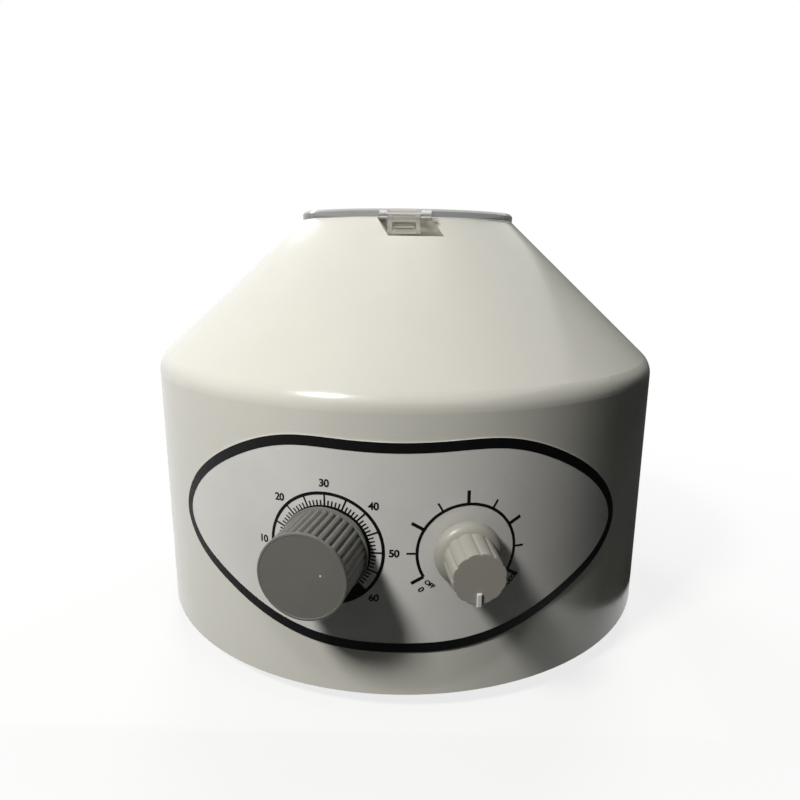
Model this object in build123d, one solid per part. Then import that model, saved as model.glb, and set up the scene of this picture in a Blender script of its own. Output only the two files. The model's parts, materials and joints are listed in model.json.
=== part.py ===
from build123d import *
from math import atan2, cos, degrees, pi, radians, sin, sqrt, tan
import os

# Bench centrifuge with a clock timer and a speed dial, in millimetres, +Z up.
# The front, with the dials, faces -Y. Each function builds its piece round the rotor's axis,
# with Z = 0 at the underside of the base plate. The assembly is then moved as a whole, so that
# it stands on Z = 0 and the origin lies under the middle of its box.

# ---------- housing shell ----------
BOWL_TO_SHELL = 20.0       # from the bowl's wall to the shell's outside at the shoulder
SHELL_DRAFT = 1.0          # the wall leans in this much from its bottom edge to the shoulder
SHOULDER_RISE = 5.0        # shoulder above the bowl's rim
SHOULDER_FILLET = 10.5
CONE_H = 68.0
RIM_R = 54.8               # outer radius of the flat rim round the opening
RIM_W = 6.8
WALL = 3.0
INNER_FILLET = 8.0

# ---------- base ----------
PLATE_T = 1.5
PLATE_CLEAR = 0.4          # between the plate's edge and the housing wall
FOOT_H = 8.0
FOOT_TOP_R = 9.0
FOOT_RIM_R = 12.5
FOOT_RIM_W = 3.0           # ring of the sole that touches the bench
FOOT_HOLLOW = 2.5          # depth of the hollow sole inside that ring
FOOT_HEAD_ROOM = 1.0       # round the screw's head
FOOT_FLOOR = 3.0           # rubber between the screw's head and the plate
FOOT_INSET = 31.0          # feet inside the shell's bottom edge
FOOT_FIRST_DEG = 45.0
CORNERS = 4
FOOT_SCREW_R = 2.0
FOOT_HEAD_R = 3.6
FOOT_HEAD_H = 2.4
FOOT_NUT_R = 3.9
FOOT_NUT_H = 3.2
THREAD_PAST_NUT = 1.5      # screw showing beyond its nut
VENT_W = 4.0
VENT_INNER_R = 20.0
VENT_OUTER_R = 38.0
VENTS = 12
POST_INSET = 12.5          # posts inside the shell's bottom edge
POST_FIRST_DEG = 22.5
POST_R = 5.0
POST_H = 16.0
POST_RIB_T = 3.0
PILOT_R = 1.6
PILOT_ROOM = 1.0           # pilot hole beyond the screw's tip
CASE_SCREW_R = 2.0
CASE_THREAD_L = 9.0        # thread in the plastic, the same screw for plate and bowl
CASE_HEAD_R = 3.5
CASE_HEAD_H = 2.2
SCREW_FIT = 0.05           # radial room between a screw and its hole in modelled size

# ---------- chamber bowl ----------
TIP_ROOM = 9.0             # from a tube's tip to the bowl's wall
BOWL_T = 1.5
BOWL_OVER_MOTOR = 6.0      # bowl's floor above the motor's top
BOWL_DEPTH = 33.5          # from its floor to the top of its flange
BOWL_FLANGE_W = 13.0
BOWL_FILLET = 9.0
BOWL_HOLE_R = 13.0
BOWL_POST_R = 4.5
BOWL_POST_OUT = 6.8        # posts outside the bowl's wall
SEAL_T = 2.0               # rubber under the bowl's floor
SEAL_LAP = 2.5             # how far the seal covers the floor round its hole
SEAL_LIP = 1.0             # gap from the seal's lip to the turning collar

# ---------- rotor ----------
TUBES = 6
TUBE_TILT = 45.0           # angle of the tubes below the horizontal
TUBE_TIP_R = 100.0         # radius that the tube's tip swings at
TIP_OVER_FLOOR = 10.0      # tube's tip above the bowl's floor
TUBE_L = 100.0
TUBE_R = 10.5
SLEEVE_FIT = 0.3           # room round a tube in its sleeve
SLEEVE_T = 1.2
TUBE_OUT = 32.0            # length of tube that stands out of its sleeve
SLEEVE_L = TUBE_L - TUBE_OUT
SLEEVE_RIM_T = 1.6
SLEEVE_RIM_R = 14.2
SLEEVE_TIP_GAP = 1.0       # from the tube's tip to the sleeve's round bottom, inside
HEAD_T = 5.0
HEAD_FIT = 0.1             # room round a sleeve in its collar
WEB_OVER_FLOOR = 14.0      # flat web of the dish above the bowl's floor
COLLAR_R = 15.6
COLLAR_FIT = 0.02          # round a collar pressed into the dish
COLLAR_H = 4.0             # how far a collar stands above the dish
COLLAR_DROP = 9.0          # how far it hangs below the dish
HEAD_REACH = 17.5          # dish beyond the tube's axis, along the dish
HUB_R = 14.0
HUB_H = 39.5
HUB_OVER_FLOOR = 2.5
SHAFT_R = 4.0
SHAFT_FIT = 0.03
SHAFT_END_GAP = 0.5        # under the shaft's lower end
SHAFT_COLLAR_R = 6.5
SHAFT_COLLAR_LIFT = 0.5    # shaft's collar above the motor's top
NUT_R = 9.0
NUT_H = 9.0
WASHER_R = 8.0
WASHER_T = 1.2
SHAFT_THREAD_R = 3.0
THREAD_SHOULDER = 2.0      # the thick shaft stops this far below the hub's top
NUT_CAP_T = 1.5            # closed end of the rotor nut

# ---------- motor ----------
MOTOR_PLATE_R = 46.0
MOTOR_PLATE_T = 2.5
MOTOR_ARM_W = 20.0
DAMPERS = 3
DAMPER_CIRCLE_R = 50.0
DAMPER_FIRST_DEG = 90.0
DAMPER_R = 7.0
DAMPER_WAIST_R = 5.4
DAMPER_H = 10.0
DAMPER_BAND = 2.0          # straight part at each end of a barrel
DAMPER_STUD_R = 2.0
DAMPER_NUT_R = 4.0
DAMPER_NUT_H = 3.0
CAN_R = 41.0
CAN_T = 1.5
CAN_VENT_HALF = 4.0
CAN_VENT_H = 6.0
CAN_VENT_DROP = 4.0        # vents below the can's top
END_T = 3.0                # upper end bracket
END_BOSS_R = 11.0
END_BOSS_H = 5.0
BUSH_R = 8.0
BUSH_H = 8.0
LOWER_BUSH_H = 6.0
LOWER_BUSH_GAP = 1.0       # from the lower bush to the commutator
BUSH_FIT = 0.05
STATOR_FIT = 0.2           # round the stator in the can
STATOR_BORE_R = 23.0
STATOR_R = CAN_R - CAN_T - STATOR_FIT
STATOR_H = 20.0
POLE_ANGLE = 100.0
POLE_SHOE_T = 3.0
POLE_NECK_HALF = 9.0
YOKE_T = 6.0
COIL_OVERHANG = 5.0
COIL_T = 7.0
COIL_GAP = 0.3             # round the pole's neck
AIR_GAP = 0.6
SLOTS = 12
SLOT_W = 4.0
SLOT_DEPTH = 8.0
WINDING_OVERHANG = 5.0
COMMUTATOR_R = 10.0
COMMUTATOR_H = 8.0
COMMUTATOR_GAP = 1.0
BRUSH_W = 5.0
BRUSH_H = 6.0
BRUSH_L = 16.0
BRUSH_GAP = 0.3
HOLDER_T = 1.6
HOLDER_OUT = 6.0           # how far a brush holder stands out of the can
FAN_TIP_GAP = 4.5          # between the fan and the can
FAN_R = CAN_R - CAN_T - FAN_TIP_GAP
FAN_HUB_R = 9.0
FAN_DISC_T = 1.5
FAN_H = 6.0
FAN_BLADES = 9
FAN_GAP = 1.5
FAN_ROOM = 3.0             # from the fan to the top of the can

# ---------- control panel ----------
PANEL_T = 0.35             # outer face of the printed overlay above the wall
GLUE_T = 0.02
PANEL_CLEAR_R = 6.0        # hole in the overlay round each control's shaft
DIAL_DROP = 22.1           # dials' centres below the bowl's floor
TIMER_DEG = -12.4          # azimuth of the timer dial, from the front towards +X
SPEED_DEG = 12.5
SPEED_LEAN_DEG = 4.2       # the speed control leans this much towards the front
# half of the overlay's outline: arc length from the middle, height above the dials' centres
PANEL_EDGE = [(0, 44.9), (20, 45.5), (45, 45.3), (70, 37.2), (90, 25.3), (104, 11.1),
              (107.6, -0.9), (100, -12.7), (81, -23.9), (52, -36.6), (26, -42.7), (0, -43.7)]

# ---------- timer ----------
PAD_DEPTH = 6.2            # from the outer surface to the flat seat inside the wall
TIMER_PAD_R = 21.0
TIMER_W = 44.0
TIMER_H = 34.0
TIMER_D = 25.0
TIMER_HOLE_R = 4.5
TIMER_SHAFT_R = 3.0
TIMER_SHAFT_IN = 7.0       # how far the shaft goes into its case
SHAFT_FLAT = 0.7           # depth of the flat on both controls' shafts
FLAT_START = 2.0           # where the flat begins, above the knob's lowest part
TIMER_SCREW_X = 13.0
TIMER_HEAD_DEPTH = 2.1     # seat of the screw heads below the overlay's surface
TIMER_HEAD_H = 0.75
TIMER_KNOB_R = 17.4
TIMER_KNOB_TOP = 24.3      # knob's face above the overlay
TIMER_FLANGE_R = 18.3
TIMER_FLANGE_T = 0.9
TIMER_FLUTES = 36
FLUTE_DEPTH = 0.7
FLUTE_W = 0.9
KNOB_EDGE = 0.6            # rounding at the rim of the knob's face
KNOB_GAP = 1.6             # lowest part of a knob above the overlay on its axis
KNOB_SOCKET = 14.0         # how deep a shaft goes into its knob

# ---------- speed control ----------
POT_PAD_R = 15.0
POT_R = 12.0
POT_D = 10.0
SWITCH_R = 11.0
SWITCH_D = 9.0
POT_BUSH_R = 4.7
POT_BUSH_FIT = 0.1
POT_SHAFT_R = 3.0
POT_SHAFT_IN = 5.0
POT_NUT_R = 6.4
POT_NUT_H = 1.9
NUT_SEAT_DEPTH = 0.95      # flat seat cut in the wall for the nut
POT_BUSH_OUT = 1.15        # bush above the overlay
SPEED_SKIRT_R = 13.5
SPEED_SKIRT_H = 5.0
SPEED_CAP_R = 10.8
SPEED_FACE_R = 10.1
SPEED_KNOB_TOP = 22.6
SPEED_LOBES = 12
LOBE_CROWN = 0.25
LOBE_GROOVE = 0.7
POINTER_W = 1.8
POINTER_IN_R = 5.6
POINTER_OUT_R = 10.9
POINTER_H = 0.8

# ---------- lid, latch and hinge ----------
LID_OVERLAP = 0.2          # lid beyond the rim
LID_T = 3.6
LID_GAP = 0.3              # from the rim to the lid
LID_CROWN = 1.6
LID_SKIRT_H = 2.6          # ring under the lid that drops into the opening
LID_SKIRT_T = 2.0
LID_SKIRT_GAP = 1.2
POCKET_IN = 3.2            # pocket's back wall inside the rim
POCKET_DROP = 8.2
POCKET_TOP_HALF = 12.4     # half of the pocket's width at the rim
POCKET_LEAN = 5.6          # the pocket's lower edge is moved this far towards +X
LUG_LEFT = -11.2
LUG_RIGHT = 12.2
LUG_DROP = 1.1             # lug's lower edge below the rim
LUG_WEB_DROP = 5.5         # lower tip of the slanting web beside the latch, below the rim
LUG_WEB_T = 1.6
LUG_OUT = 5.6              # lug's front beyond the rim
LUG_ROOM = 0.6             # from the lug to the pocket's back wall
LATCH_LEFT = -7.4
LATCH_RIGHT = 7.2
LATCH_SIDE_GAP = 0.35
LATCH_DROP = 7.2           # latch's lower end below the rim
LATCH_BACK = 1.6           # latch's back and front beyond the rim
LATCH_FRONT = 6.1
LATCH_RIB_W = 2.0
LATCH_RIB_STEP = 0.8       # ribs stand this far in front of the web
LATCH_WEB_T = 1.6
LATCH_BAR_H = 1.9
LATCH_WINDOW_DROP = 2.1    # window's upper edge below the rim
LATCH_PIN_OUT = 3.4        # latch pin beyond and above the rim
LATCH_PIN_UP = 1.1
LATCH_PIN_R = 0.8
LATCH_EYE_R = 2.1
PIN_FIT = 0.06
CATCH_DROP = 3.9           # catch's lower corner below the rim
CATCH_H = 1.4
CATCH_GAP = 0.4            # from the catch's tip to the latch's bar as the lid lifts
CATCH_HALF_W = 4.6
EARS_HALF = 30.0           # half of the width that the hinge's ears take
EARS_DEEP = 9.0
EARS_DOWN = 20.0
EARS_UP = 12.0
HINGE_OUT = 5.4            # hinge pin beyond and above the rim
HINGE_UP = 1.1
HINGE_PIN_R = 1.5
HINGE_EYE_R = 3.2
HINGE_HALF_W = 9.0
HINGE_EAR_W = 5.0
HINGE_SIDE_GAP = 0.4
HINGE_PIN_HEAD_R = 2.4
HINGE_PIN_HEAD_T = 1.0

# ---------- mains inlet ----------
INLET_Z = 36.0
INLET_SINK = 1.8           # flat recess inside the shoulder's radius
INLET_FLANGE_W = 50.0
INLET_FLANGE_H = 36.0
INLET_FLANGE_T = 2.4
INLET_BODY_W = 30.0
INLET_BODY_H = 32.0
INLET_BODY_D = 20.0
INLET_FIT = 0.3
RECESS_ROOM = 1.5
SOCKET_W = 24.0
SOCKET_H = 16.4
SOCKET_D = 16.0
SOCKET_UP = 5.6            # socket's centre above the inlet's centre
SOCKET_CORNER = 4.0
CONTACT_PITCH = 7.0
CONTACT_W = 2.0
CONTACT_H = 4.0
CONTACT_RECESS = 5.5
CONTACT_TAIL = 7.0
DRAWER_W = 23.0
DRAWER_H = 8.0
DRAWER_D = 17.0
DRAWER_DOWN = 10.0
DRAWER_FIT = 0.25
DRAWER_LIP = 1.2
FUSE_R = 2.5
FUSE_L = 13.0
INLET_SCREW_X = 20.0
INLET_SCREW_R = 1.5
INLET_SCREW_HEAD_R = 2.8
INLET_SCREW_HEAD_H = 1.7

# ---------- speed control board ----------
BOARD_INSET = 42.0         # board's middle inside the shell's bottom edge, on the -X side
BOARD_W = 42.0
BOARD_L = 64.0
BOARD_T = 1.6
STANDOFF_H = 8.0
STANDOFF_R = 3.0
STANDOFF_INSET = 4.0
BOARD_SCREW_R = 1.4
BOARD_HEAD_R = 2.6
BOARD_HEAD_H = 1.6
SINK_W = 22.0
SINK_D = 12.0
SINK_H = 24.0
SINK_FINS = 5
SINK_FIN_T = 1.2
SINK_BACK_T = 2.5
CAPACITOR_W = 18.0
CAPACITOR_D = 9.0
CAPACITOR_H = 15.0
TERMINAL_W = 30.0
TERMINAL_D = 9.0
TERMINAL_H = 10.0

# ---------- radii that follow: the rotor's swing sets the bowl, and the bowl sets the shell ----------
BOWL_R = TUBE_TIP_R + TIP_ROOM
BOWL_POST_CIRCLE_R = BOWL_R + BOWL_POST_OUT
BOWL_FLANGE_R = BOWL_R + BOWL_FLANGE_W
SHOULDER_R = BOWL_R + BOWL_TO_SHELL
BASE_R = SHOULDER_R + SHELL_DRAFT
PANEL_R = (SHOULDER_R + BASE_R) / 2
POST_CIRCLE_R = BASE_R - POST_INSET
FOOT_CIRCLE_R = BASE_R - FOOT_INSET
BOARD_X = BOARD_INSET - BASE_R
INLET_FLAT_Y = SHOULDER_R - INLET_SINK

# ---------- heights that follow: the motor's stack carries the bowl, the rotor and the shell ----------
STATOR_LOW = LOWER_BUSH_H + LOWER_BUSH_GAP + COMMUTATOR_H + COMMUTATOR_GAP + WINDING_OVERHANG
CAN_H = CAN_T + STATOR_LOW + STATOR_H + WINDING_OVERHANG + FAN_GAP + FAN_H + FAN_ROOM
PLATE_TOP_Z = PLATE_T + DAMPER_H + MOTOR_PLATE_T
CAN_TOP_Z = PLATE_TOP_Z + CAN_H
BOWL_FLOOR_Z = CAN_TOP_Z + END_T + END_BOSS_H + BOWL_OVER_MOTOR
BOWL_RIM_Z = BOWL_FLOOR_Z + BOWL_DEPTH
TUBE_TIP_Z = BOWL_FLOOR_Z + TIP_OVER_FLOOR
HUB_BOTTOM_Z = BOWL_FLOOR_Z + HUB_OVER_FLOOR
HUB_TOP_Z = HUB_BOTTOM_Z + HUB_H
SHAFT_COLLAR_H = HUB_OVER_FLOOR + BOWL_OVER_MOTOR - SHAFT_COLLAR_LIFT
DIAL_Z = BOWL_FLOOR_Z - DIAL_DROP
SHOULDER_Z = BOWL_RIM_Z + SHOULDER_RISE
RIM_Z = SHOULDER_Z + CONE_H

# ---------- lid, latch and hinge places that follow from the rim ----------
OPENING_R = RIM_R - RIM_W
LID_R = RIM_R + LID_OVERLAP
POCKET_FLOOR_Y = RIM_R - POCKET_IN
POCKET_BOTTOM_Z = RIM_Z - POCKET_DROP
LUG_LOW_Z = RIM_Z - LUG_DROP
LUG_WEB_LOW_Z = RIM_Z - LUG_WEB_DROP
LUG_OUT_Y = RIM_R + LUG_OUT
LATCH_BOTTOM_Z = RIM_Z - LATCH_DROP
LATCH_BACK_Y = RIM_R + LATCH_BACK
LATCH_FRONT_Y = RIM_R + LATCH_FRONT
LATCH_WINDOW_TOP_Z = RIM_Z - LATCH_WINDOW_DROP
LATCH_PIN_Y = RIM_R + LATCH_PIN_OUT
LATCH_PIN_Z = RIM_Z + LATCH_PIN_UP
CATCH_Z = RIM_Z - CATCH_DROP
HINGE_Y = RIM_R + HINGE_OUT
HINGE_Z = RIM_Z + HINGE_UP

BOTTOM = (Align.CENTER, Align.CENTER, Align.MIN)
TOP = (Align.CENTER, Align.CENTER, Align.MAX)


# ---------- helpers ----------
def rod(radius, z_low, z_high, x=0.0, y=0.0):
    return Pos(x, y, z_low) * Cylinder(radius, z_high - z_low, align=BOTTOM)


def tube(radius, bore, z_low, z_high, x=0.0, y=0.0):
    return rod(radius, z_low, z_high, x, y) - rod(bore, z_low - 1, z_high + 1, x, y)


def block(x0, x1, y0, y1, z0, z1):
    middle = ((x0 + x1) / 2, (y0 + y1) / 2, (z0 + z1) / 2)
    return Pos(*middle) * Box(x1 - x0, y1 - y0, z1 - z0)


def around(count, first_deg, radius):
    """Points evenly spaced on a circle, as x, y."""
    turns = [radians(first_deg + 360.0 * i / count) for i in range(count)]
    return [(radius * cos(t), radius * sin(t)) for t in turns]


def revolved(points):
    """Solid of revolution about Z from a closed outline of (radius, z) corners."""
    return revolve(Plane.XZ * make_face(Polyline(*points, close=True)), Axis.Z)


def prism_x(points, x0, x1):
    """Solid along X from a closed outline of (y, z) corners."""
    face = Plane.YZ.offset(x0) * make_face(Polyline(*points, close=True))
    return extrude(face, amount=x1 - x0)


def hexagon(across_corners_r, z_low, z_high, x=0.0, y=0.0):
    face = Pos(x, y, z_low) * RegularPolygon(across_corners_r, 6)
    return extrude(face, amount=z_high - z_low)


def solids_of(pieces):
    """A group of separate solids under one name."""
    return Compound([solid for piece in pieces for solid in piece.solids()])


def cone_slope():
    """Radius gained per millimetre going down the cone."""
    return (SHOULDER_R - RIM_R) / (RIM_Z - SHOULDER_Z)


def cone_r(z):
    return RIM_R + (RIM_Z - z) * cone_slope()


def wall_r(z):
    return BASE_R + (SHOULDER_R - BASE_R) * z / SHOULDER_Z


def panel_plane(azimuth_deg, lean_deg=0.0):
    """Plane on the overlay's surface: local X to the right, Y up, Z out of the panel."""
    place = radians(azimuth_deg)
    out = radians(azimuth_deg - lean_deg)
    reach = wall_r(DIAL_Z) + PANEL_T
    return Plane(origin=(reach * sin(place), -reach * cos(place), DIAL_Z),
                 x_dir=(cos(out), sin(out), 0), z_dir=(sin(out), -cos(out), 0))


def timer_plane():
    return panel_plane(TIMER_DEG)


def speed_plane():
    return panel_plane(SPEED_DEG, SPEED_LEAN_DEG)


def on_panel(plane, piece):
    return plane.location * piece


# ---------- housing ----------
def shell_body(grow=0.0):
    """Outer form of the shell, grown or shrunk square to its walls."""
    slant = sqrt(1 + cone_slope() ** 2)
    low_r = BASE_R + grow
    top_z = RIM_Z + grow
    cone_shift = grow * slant
    rim_r = cone_r(top_z) + cone_shift
    corner_z = RIM_Z - (SHOULDER_R + grow - RIM_R - cone_shift) / cone_slope()
    corner_r = wall_r(corner_z) + grow
    outline = Polyline((0, 0), (low_r, 0), (corner_r, corner_z), (rim_r, top_z), (0, top_z), close=True)
    face = make_face(outline)
    shoulder = [v for v in face.vertices() if abs(v.X - corner_r) < 0.01 and v.Y > 1]
    radius = SHOULDER_FILLET if grow == 0 else INNER_FILLET
    face = fillet(shoulder, radius)
    return revolve(Plane.XZ * face, Axis.Z)


def panel_pads():
    """Flat seats behind the wall for the timer and the speed control."""
    pads = []
    for plane, radius in ((timer_plane(), TIMER_PAD_R), (speed_plane(), POT_PAD_R)):
        pad = Pos(0, 0, -PAD_DEPTH) * Cylinder(radius, PAD_DEPTH, align=BOTTOM)
        pads.append(on_panel(plane, pad))
    return pads


def panel_holes():
    timer = Cylinder(TIMER_HOLE_R, 4 * PAD_DEPTH)
    screws = [Pos(x, 0, 0) * Cylinder(INLET_SCREW_R + SCREW_FIT, 4 * PAD_DEPTH)
              for x in (-TIMER_SCREW_X, TIMER_SCREW_X)]
    heads = [Pos(x, 0, -TIMER_HEAD_DEPTH) * Cylinder(INLET_SCREW_HEAD_R + SCREW_FIT, PAD_DEPTH, align=BOTTOM)
             for x in (-TIMER_SCREW_X, TIMER_SCREW_X)]
    pot = Cylinder(POT_BUSH_R + POT_BUSH_FIT, 4 * PAD_DEPTH)
    nut_seat = Pos(0, 0, -NUT_SEAT_DEPTH) * Cylinder(PANEL_CLEAR_R, PAD_DEPTH, align=BOTTOM)
    cuts = [on_panel(timer_plane(), piece) for piece in [timer] + screws + heads]
    return cuts + [on_panel(speed_plane(), piece) for piece in (pot, nut_seat)]


def post_inner_z(radius):
    """Height of the cone's inner face at a radius."""
    return RIM_Z - (radius - RIM_R) / cone_slope() - WALL * sqrt(1 + cone_slope() ** -2)


def base_posts():
    posts = []
    for x, y in around(CORNERS, POST_FIRST_DEG, POST_CIRCLE_R):
        turn = degrees(atan2(y, x))
        rib = Rot(0, 0, turn) * block(POST_CIRCLE_R, wall_r(POST_H) - WALL / 2,
                                      -POST_RIB_T / 2, POST_RIB_T / 2, PLATE_T, POST_H)
        posts.append(rod(POST_R, PLATE_T, POST_H, x, y) + rib)
    return posts


def bowl_posts():
    posts = []
    for x, y in around(CORNERS, FOOT_FIRST_DEG, BOWL_POST_CIRCLE_R):
        top = post_inner_z(BOWL_POST_CIRCLE_R) + BOWL_POST_R
        posts.append(rod(BOWL_POST_R, BOWL_RIM_Z, top, x, y))
    return posts


def hinge_ears():
    """Two ears behind the rim that carry the lid's hinge pin."""
    ears = []
    root_z = RIM_Z - 9.0
    foot = [(HINGE_Y - 5.0, root_z + 5), (HINGE_Y + 4.5, root_z - 4), (HINGE_Y + 4.5, root_z),
            (HINGE_Y + HINGE_EYE_R, HINGE_Z), (HINGE_Y - HINGE_EYE_R, HINGE_Z), (HINGE_Y - 5.0, RIM_Z)]
    for side in (-1, 1):
        x0 = side * (HINGE_HALF_W + HINGE_SIDE_GAP)
        x1 = x0 + side * HINGE_EAR_W
        low, high = min(x0, x1), max(x0, x1)
        eye = Pos((low + high) / 2, HINGE_Y, HINGE_Z) * Rot(0, 90, 0) * Cylinder(HINGE_EYE_R, high - low)
        ears.append(prism_x(foot, low, high) + eye)
    return ears


def pocket_cut():
    """Leaning pocket in front of the rim, open at the top, for the latch and a fingertip."""
    low = POCKET_BOTTOM_Z
    shift = POCKET_LEAN
    high = RIM_Z + 1
    over = shift / (RIM_Z - low)
    corners = [(-POCKET_TOP_HALF + shift, low), (POCKET_TOP_HALF + shift, low),
               (POCKET_TOP_HALF - over, high), (-POCKET_TOP_HALF - over, high)]
    face = Plane.XZ.offset(POCKET_FLOOR_Y) * make_face(Polyline(*corners, close=True))
    return extrude(face, amount=30)


def pocket_wall():
    """Material behind the pocket that closes it towards the chamber."""
    reach = POCKET_TOP_HALF + POCKET_LEAN + WALL
    box = block(-reach, reach, -POCKET_FLOOR_Y - 16, -OPENING_R, POCKET_BOTTOM_Z - WALL, RIM_Z)
    return box & shell_body()


def catch():
    """Wedge on the pocket's back wall that the latch's bar hooks under."""
    tip = LATCH_BACK_Y - CATCH_GAP
    points = [(-POCKET_FLOOR_Y + 1, CATCH_Z - CATCH_H / 2), (-tip, CATCH_Z - CATCH_H / 2),
              (-tip, CATCH_Z), (-POCKET_FLOOR_Y + 1, CATCH_Z + CATCH_H)]
    return prism_x(points, -CATCH_HALF_W, CATCH_HALF_W)


def inlet_pad():
    reach = INLET_FLANGE_W / 2 + RECESS_ROOM + WALL
    half = INLET_FLANGE_H / 2 + RECESS_ROOM + WALL
    box = block(-reach, reach, INLET_FLAT_Y - WALL, BASE_R, INLET_Z - half, INLET_Z + half)
    return box & shell_body()


def inlet_cuts():
    reach = INLET_FLANGE_W / 2 + RECESS_ROOM
    half = INLET_FLANGE_H / 2 + RECESS_ROOM
    flat = block(-reach, reach, INLET_FLAT_Y, BASE_R + 5, INLET_Z - half, INLET_Z + half)
    hole_w = INLET_BODY_W / 2 + INLET_FIT
    hole_h = INLET_BODY_H / 2 + INLET_FIT
    hole = block(-hole_w, hole_w, INLET_FLAT_Y - 2 * WALL - 2, BASE_R, INLET_Z - hole_h, INLET_Z + hole_h)
    screws = [inlet_screw_rod(x, INLET_SCREW_R + SCREW_FIT, INLET_FLAT_Y - 2 * WALL - 2, BASE_R)
              for x in (-INLET_SCREW_X, INLET_SCREW_X)]
    return [flat, hole] + screws


def inlet_screw_rod(x, radius, y_low, y_high):
    length = y_high - y_low
    return Pos(x, (y_low + y_high) / 2, INLET_Z) * Rot(90, 0, 0) * Cylinder(radius, length)


def housing_shell():
    shell = shell_body() - shell_body(-WALL)
    shell = shell - block(-BASE_R, BASE_R, -BASE_R, BASE_R, -1, 0)
    shell = shell + panel_pads() + base_posts() + bowl_posts() + [pocket_wall(), inlet_pad()]
    shell = shell + hinge_ears()
    ears = block(-EARS_HALF, EARS_HALF, HINGE_Y - EARS_DEEP, HINGE_Y + EARS_DEEP, RIM_Z - EARS_DOWN, RIM_Z + EARS_UP)
    shell = shell & (shell_body() + ears)
    shell = shell - rod(OPENING_R, RIM_Z - 30, RIM_Z + 30)
    shell = shell - pocket_cut() + catch()
    shell = shell - panel_holes() - inlet_cuts()
    depth = CASE_THREAD_L + PILOT_ROOM
    pilots = [rod(PILOT_R, PLATE_T - 1, PLATE_T + depth, x, y)
              for x, y in around(CORNERS, POST_FIRST_DEG, POST_CIRCLE_R)]
    bowl_pilots = [rod(PILOT_R, BOWL_RIM_Z - 1, BOWL_RIM_Z + depth, x, y)
                   for x, y in around(CORNERS, FOOT_FIRST_DEG, BOWL_POST_CIRCLE_R)]
    eye = Pos(0, HINGE_Y, HINGE_Z) * Rot(0, 90, 0) * Cylinder(HINGE_PIN_R + SCREW_FIT, 2 * EARS_HALF)
    return shell - pilots - bowl_pilots - eye


def control_overlay():
    """Thin printed sheet that follows the curve of the wall."""
    right = [(PANEL_R * sin(s / PANEL_R), DIAL_Z + up) for s, up in PANEL_EDGE]
    left = [(-x, z) for x, z in reversed(right[1:-1])]
    edge = Spline(*right, *left, periodic=True)
    column = extrude(Plane.XZ.offset(PANEL_R * 0.6) * make_face(edge), amount=PANEL_R)
    low, high = wall_r(0), wall_r(SHOULDER_Z)
    skin = revolved([(low + GLUE_T, 0), (low + PANEL_T, 0),
                     (high + PANEL_T, SHOULDER_Z), (high + GLUE_T, SHOULDER_Z)])
    holes = [on_panel(plane, Cylinder(PANEL_CLEAR_R, 4 * PAD_DEPTH))
             for plane in (timer_plane(), speed_plane())]
    return skin & column - holes


# ---------- base ----------
def base_plate():
    plate = rod(wall_r(0) - WALL - PLATE_CLEAR, 0, PLATE_T)
    for i in range(VENTS):
        slot = Pos((VENT_INNER_R + VENT_OUTER_R) / 2, 0, 0) * SlotOverall(VENT_OUTER_R - VENT_INNER_R, VENT_W)
        plate -= extrude(Rot(0, 0, (i + 0.5) * 360 / VENTS) * slot, amount=PLATE_T)
    plate -= [rod(FOOT_SCREW_R + SCREW_FIT, -1, 2 * PLATE_T, x, y)
              for x, y in around(CORNERS, FOOT_FIRST_DEG, FOOT_CIRCLE_R)]
    plate -= [rod(CASE_SCREW_R + SCREW_FIT, -1, 2 * PLATE_T, x, y)
              for x, y in around(CORNERS, POST_FIRST_DEG, POST_CIRCLE_R)]
    plate -= [rod(DAMPER_STUD_R + SCREW_FIT, -1, 2 * PLATE_T, x, y)
              for x, y in around(DAMPERS, DAMPER_FIRST_DEG, DAMPER_CIRCLE_R)]
    plate -= [rod(BOARD_SCREW_R + SCREW_FIT, -1, 2 * PLATE_T, x, y) for x, y in board_corners()]
    return plate


def rubber_feet():
    """Four rubber feet, each with a hollow sole and a seat for its screw."""
    bore = FOOT_SCREW_R + SCREW_FIT
    pocket = FOOT_HEAD_R + FOOT_HEAD_ROOM
    foot = revolved([(bore, 0), (FOOT_TOP_R, 0), (FOOT_RIM_R, -FOOT_H), (FOOT_RIM_R - FOOT_RIM_W, -FOOT_H),
                     (pocket, FOOT_HOLLOW - FOOT_H), (pocket, -FOOT_FLOOR), (bore, -FOOT_FLOOR)])
    return solids_of([Pos(x, y, 0) * foot for x, y in around(CORNERS, FOOT_FIRST_DEG, FOOT_CIRCLE_R)])


def foot_screws():
    screws = []
    for x, y in around(CORNERS, FOOT_FIRST_DEG, FOOT_CIRCLE_R):
        shank = rod(FOOT_SCREW_R, -FOOT_FLOOR, PLATE_T + FOOT_NUT_H + THREAD_PAST_NUT, x, y)
        head = rod(FOOT_HEAD_R, -FOOT_FLOOR - FOOT_HEAD_H, -FOOT_FLOOR, x, y)
        screws.append(shank + head)
    return solids_of(screws)


def foot_nuts():
    nuts = []
    for x, y in around(CORNERS, FOOT_FIRST_DEG, FOOT_CIRCLE_R):
        nut = hexagon(FOOT_NUT_R, PLATE_T, PLATE_T + FOOT_NUT_H, x, y)
        nuts.append(nut - rod(FOOT_SCREW_R + SCREW_FIT, 0, PLATE_T + 2 * FOOT_NUT_H, x, y))
    return solids_of(nuts)


def case_screw(seat_z, sheet, x, y):
    """Screw from below through a sheet of metal into a plastic post."""
    head = rod(CASE_HEAD_R, seat_z - CASE_HEAD_H, seat_z, x, y)
    neck = rod(CASE_SCREW_R, seat_z, seat_z + sheet, x, y)
    return head + neck + rod(PILOT_R - SCREW_FIT, seat_z + sheet, seat_z + sheet + CASE_THREAD_L, x, y)


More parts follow.
